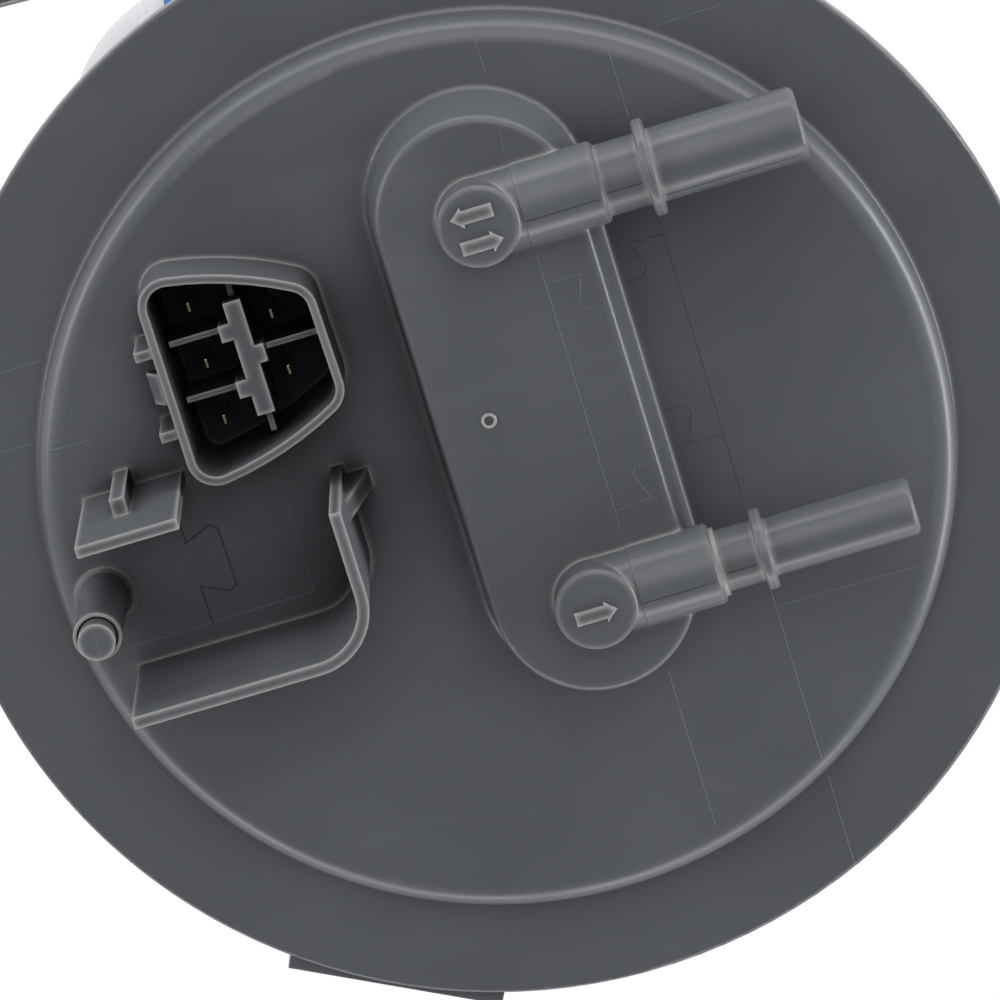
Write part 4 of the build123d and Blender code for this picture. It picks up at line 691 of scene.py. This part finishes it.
witness_lines = {
    "split_left_upper": ([(insert_left, 58.0), (insert_left, 52.4)], plateau_top),
    "split_left_rim": ([(insert_left, 74.2), (insert_left, 62.3)], rim_top),
    "split_left_boss": ([(insert_left, 47.5), (insert_left, 42.8)], boss_top),
    "split_left_boss_middle": ([(insert_left, 30.0), (insert_left, -11.0)], boss_top),
    "split_left_lower": ([(insert_left, -33.0), (insert_left, -56.0)], plateau_top),
    "split_right_upper": ([(insert_right, 51.0), (insert_right, 41.2)], plateau_top),
    "split_right_middle": ([(insert_right, 31.0), (insert_right, -12.0)], plateau_top),
    "split_right_lower": ([(insert_right, -22.0), (insert_right, -51.0)], plateau_top),
    "split_right_rim": ([(insert_right, -56.0), (insert_right, -69.2)], rim_top),
    "key_upper_boss": (
        [(insert_left, 25.9), (18.8, 25.7), (17.6, 22.0), (18.4, 21.0), (20.4, 21.0)], boss_top,
    ),
    "key_upper_plateau": (
        [(insert_right, 25.0), (25.8, 25.1), (27.0, 21.2), (26.1, 20.2), (24.0, 20.2)], plateau_top,
    ),
    "key_lower_plateau": (
        [(24.0, 1.8), (26.5, 1.6), (27.1, 0.6), (25.7, -3.5), (insert_right, -3.7)], plateau_top,
    ),
    "key_lower_boss": (
        [(20.3, -1.4), (18.2, -1.4), (17.7, -2.4), (19.1, -6.1), (insert_left, -6.5)], boss_top,
    ),
    "bay_key": (
        [
            (-42.9, 5.5), (-42.9, 2.9), (-39.3, 4.4), (-38.2, 3.6),
            (-38.1, -4.6), (-39.2, -5.1), (-42.8, -3.4), (-42.8, -8.7),
        ],
        plateau_top,
    ),
    "bay_box": ([(-28.4, 7.9), (-28.4, -8.5), (-42.8, -8.7), (-54.5, -8.8), (-54.8, -7.6)], plateau_top),
    "left_upper_rim": ([(-68.0, 30.9), (-54.6, 31.0)], rim_top),
    "left_lower_rim": ([(-72.5, 20.6), (-58.9, 20.4)], rim_top),
    "left_lower_plateau": ([(-57.0, 20.4), (-49.8, 20.2)], plateau_top),
    "right_lower_plateau": ([(insert_right, -28.7), (50.2, -28.8)], plateau_top),
    "top_rim": ([(36.4, 50.8), (46.1, 51.1)], rim_top),
}
# lines drawn as dark strips of painted shade, standing in for the shade inside open gaps, with their widths
dark_lines = {"bay_key": 0.55, "key_upper_plateau": 0.2, "key_lower_plateau": 0.2, "split_right_middle": 0.18}
for label, (points, level) in witness_lines.items():
    if label in dark_lines:
        witness(f"witness_{label}", points, level, gap_shade, dark_lines[label])
    else:
        witness(f"witness_{label}", points, level)

# parting line across the locating post's pin
witness("witness_pin", [(-55.55, 1.5), (-55.7, -3.3)], plateau_top + post_height)

# parting lines along the elbows, drawn dark as painted shade: port, start and end along X, radius of the tube,
# place beside its axis
seams = {
    "return_sleeve": ("return", 14.2, 24.3, 5.55, -1.2),
    "return_neck": ("return", 25.2, 30.0, 4.8, -0.8),
    "return_tube": ("return", 32.6, 50.8, 4.945, -3.5),
    "supply_sleeve": ("supply", 14.2, 24.3, 5.55, -1.1),
    "supply_neck": ("supply", 26.0, 30.0, 4.2, -0.7),
}
for label, (port, start, end, radius, beside) in seams.items():
    seam_y = disc_centres[port][1] + beside
    seam_z = tube_axis_z + (radius**2 - beside**2) ** 0.5
    run = [Vector((start, seam_y, seam_z)), Vector((end, seam_y, seam_z))]
    seam = swept(f"seam_{label}", run, seam_size, sides=8)
    piece(f"seam_{label}", seam, "flange_cover", "flange", gap_shade)

# the mould insert's line over both elbows
for port, (_, centre_y) in disc_centres.items():
    hoop = []
    for count in range(hoop_points):
        angle = radians(hoop_start + hoop_step * count)
        y, z = centre_y + elbow_radius * cos(angle), tube_axis_z + elbow_radius * sin(angle)
        hoop.append(Vector((insert_left, y, z)))
    hoop_mesh = swept(f"hoop_{port}", hoop, seam_size, sides=8)
    piece(f"hoop_{port}", hoop_mesh, "flange_cover", "flange", parting_line_highlight)



def closed_ring(name, route, radius, sides=12):
    """Ring mesh along a closed level route in mm."""
    shell = bmesh.new()
    count = len(route)
    upward = Vector((0, 0, 1))
    rings = []
    for k, point in enumerate(route):
        beside = (route[(k + 1) % count] - route[k - 1]).normalized().cross(upward)
        ring = []
        for s in range(sides):
            angle = 2 * pi * s / sides
            ring.append(shell.verts.new((point + (upward * cos(angle) + beside * sin(angle)) * radius) * MM))
        rings.append(ring)
    for k in range(count):
        first, second = rings[k], rings[(k + 1) % count]
        for s in range(sides):
            after = (s + 1) % sides
            shell.faces.new([first[s], first[after], second[after], second[s]])
    bmesh.ops.recalc_face_normals(shell, faces=shell.faces)
    data = bpy.data.meshes.new(name)
    shell.to_mesh(data)
    shell.free()
    for face in data.polygons:
        face.use_smooth = True
    return data


gate_angles = [2 * pi * k / gate_points for k in range(gate_points)]
gate_route = [
    Vector((gate_x + gate_radius * cos(angle), gate_y + gate_radius * sin(angle), boss_top))
    for angle in gate_angles
]
piece("gate_mark", closed_ring("gate_mark", gate_route, gate_line), "flange_cover", "flange")

# ------------------------------------------------------------------------------ floor, light and camera


def seen_directly(tree):
    """1 for camera, mirror-like and see-through rays, which see the plain white, and 0 for the others."""
    path = tree.nodes.new("ShaderNodeLightPath")
    seen = path.outputs["Is Camera Ray"]
    for ray in ("Is Glossy Ray", "Is Transmission Ray"):
        most = tree.nodes.new("ShaderNodeMath")
        most.operation = "MAXIMUM"
        tree.links.new(seen, most.inputs[0])
        tree.links.new(path.outputs[ray], most.inputs[1])
        seen = most.outputs["Value"]
    return seen


def make_floor():
    """Floor that shows white with the object's shadow on it, while it lights the object as plain grey."""
    bpy.ops.mesh.primitive_plane_add(size=floor_size, location=(0, 0, cad_low.z - floor_drop))
    floor = bpy.context.object
    floor.name = "floor"
    material = bpy.data.materials.new("pale_floor")
    material.use_nodes = True
    tree = material.node_tree
    shader = tree.nodes["Principled BSDF"]
    shader.inputs["Base Color"].default_value = (0.5, 0.5, 0.5, 1)
    shader.inputs["Roughness"].default_value = 0.9
    shader.inputs["Specular IOR Level"].default_value = 0.1
    glow = tree.nodes.new("ShaderNodeEmission")
    glow.inputs["Color"].default_value = (1, 1, 1, 1)
    glow.inputs["Strength"].default_value = 1.32
    seen = seen_directly(tree)
    share = tree.nodes.new("ShaderNodeMath")
    share.operation = "MULTIPLY"
    share.inputs[1].default_value = 0.65
    tree.links.new(seen, share.inputs[0])
    mixed = tree.nodes.new("ShaderNodeMixShader")
    tree.links.new(share.outputs["Value"], mixed.inputs["Fac"])
    tree.links.new(shader.outputs["BSDF"], mixed.inputs[1])
    tree.links.new(glow.outputs["Emission"], mixed.inputs[2])
    tree.links.new(mixed.outputs["Shader"], tree.nodes["Material Output"].inputs["Surface"])
    floor.data.materials.append(material)


make_floor()

world = bpy.data.worlds.new("studio")
bpy.context.scene.world = world
world.use_nodes = True
world_tree = world.node_tree
ambient = world_tree.nodes["Background"]
ambient.inputs["Color"].default_value = (0.95, 0.97, 1.0, 1)
ambient.inputs["Strength"].default_value = 0.2
white = world_tree.nodes.new("ShaderNodeBackground")
white.inputs["Color"].default_value = (1, 1, 1, 1)
white.inputs["Strength"].default_value = 1.0
world_path = world_tree.nodes.new("ShaderNodeLightPath")
world_mix = world_tree.nodes.new("ShaderNodeMixShader")
world_tree.links.new(world_path.outputs["Is Camera Ray"], world_mix.inputs["Fac"])
world_tree.links.new(ambient.outputs["Background"], world_mix.inputs[1])
world_tree.links.new(white.outputs["Background"], world_mix.inputs[2])
world_tree.links.new(world_mix.outputs["Shader"], world_tree.nodes["World Output"].inputs["Surface"])


def softbox(name, place, size, power, target=(0, 0, 0)):
    """Rectangular area lamp that faces a point of the part."""
    lamp = bpy.data.lights.new(name, "AREA")
    lamp.shape = "RECTANGLE"
    lamp.size, lamp.size_y = size
    lamp.energy = power
    holder = bpy.data.objects.new(name, lamp)
    bpy.context.scene.collection.objects.link(holder)
    holder.location = place
    holder.rotation_mode = "QUATERNION"
    holder.rotation_quaternion = (Vector(target) - Vector(place)).to_track_quat("-Z", "Y")


softbox("top_back", (0.5, 1.7, 2.9), (3.0, 3.0), 48.0)
softbox("back_low", (0.7, 2.4, 0.34), (6.2, 0.8), 64.0)
softbox("right_low", (2.5, -0.65, 0.3), (3.0, 0.6), 66.0)
softbox("left_low", (-2.3, 1.2, 0.8), (2.1, 0.7), 32.0)
softbox("front_low", (-0.8, -2.3, 0.68), (5.7, 0.7), 66.0)

camera_data = bpy.data.cameras.new("camera")
camera_data.sensor_width = 36.0
camera_data.lens = 234.0
camera = bpy.data.objects.new("camera", camera_data)
bpy.context.scene.collection.objects.link(camera)
camera_place = Vector((51.9, 213.8, 852.6)) * MM
camera_target = Vector((-1.53, -6.37, 0.0)) * MM
photo_turn = radians(16.72)
back = (camera_place - camera_target).normalized()
plan_up = Vector((sin(photo_turn), cos(photo_turn), 0))
right = plan_up.cross(back).normalized()
up = back.cross(right)
camera.matrix_world = Matrix.Translation(camera_place) @ Matrix((right, up, back)).transposed().to_4x4()
camera_data.clip_start, camera_data.clip_end = 0.05, 20.0
bpy.context.scene.camera = camera
bpy.context.scene.view_settings.view_transform = "Standard"
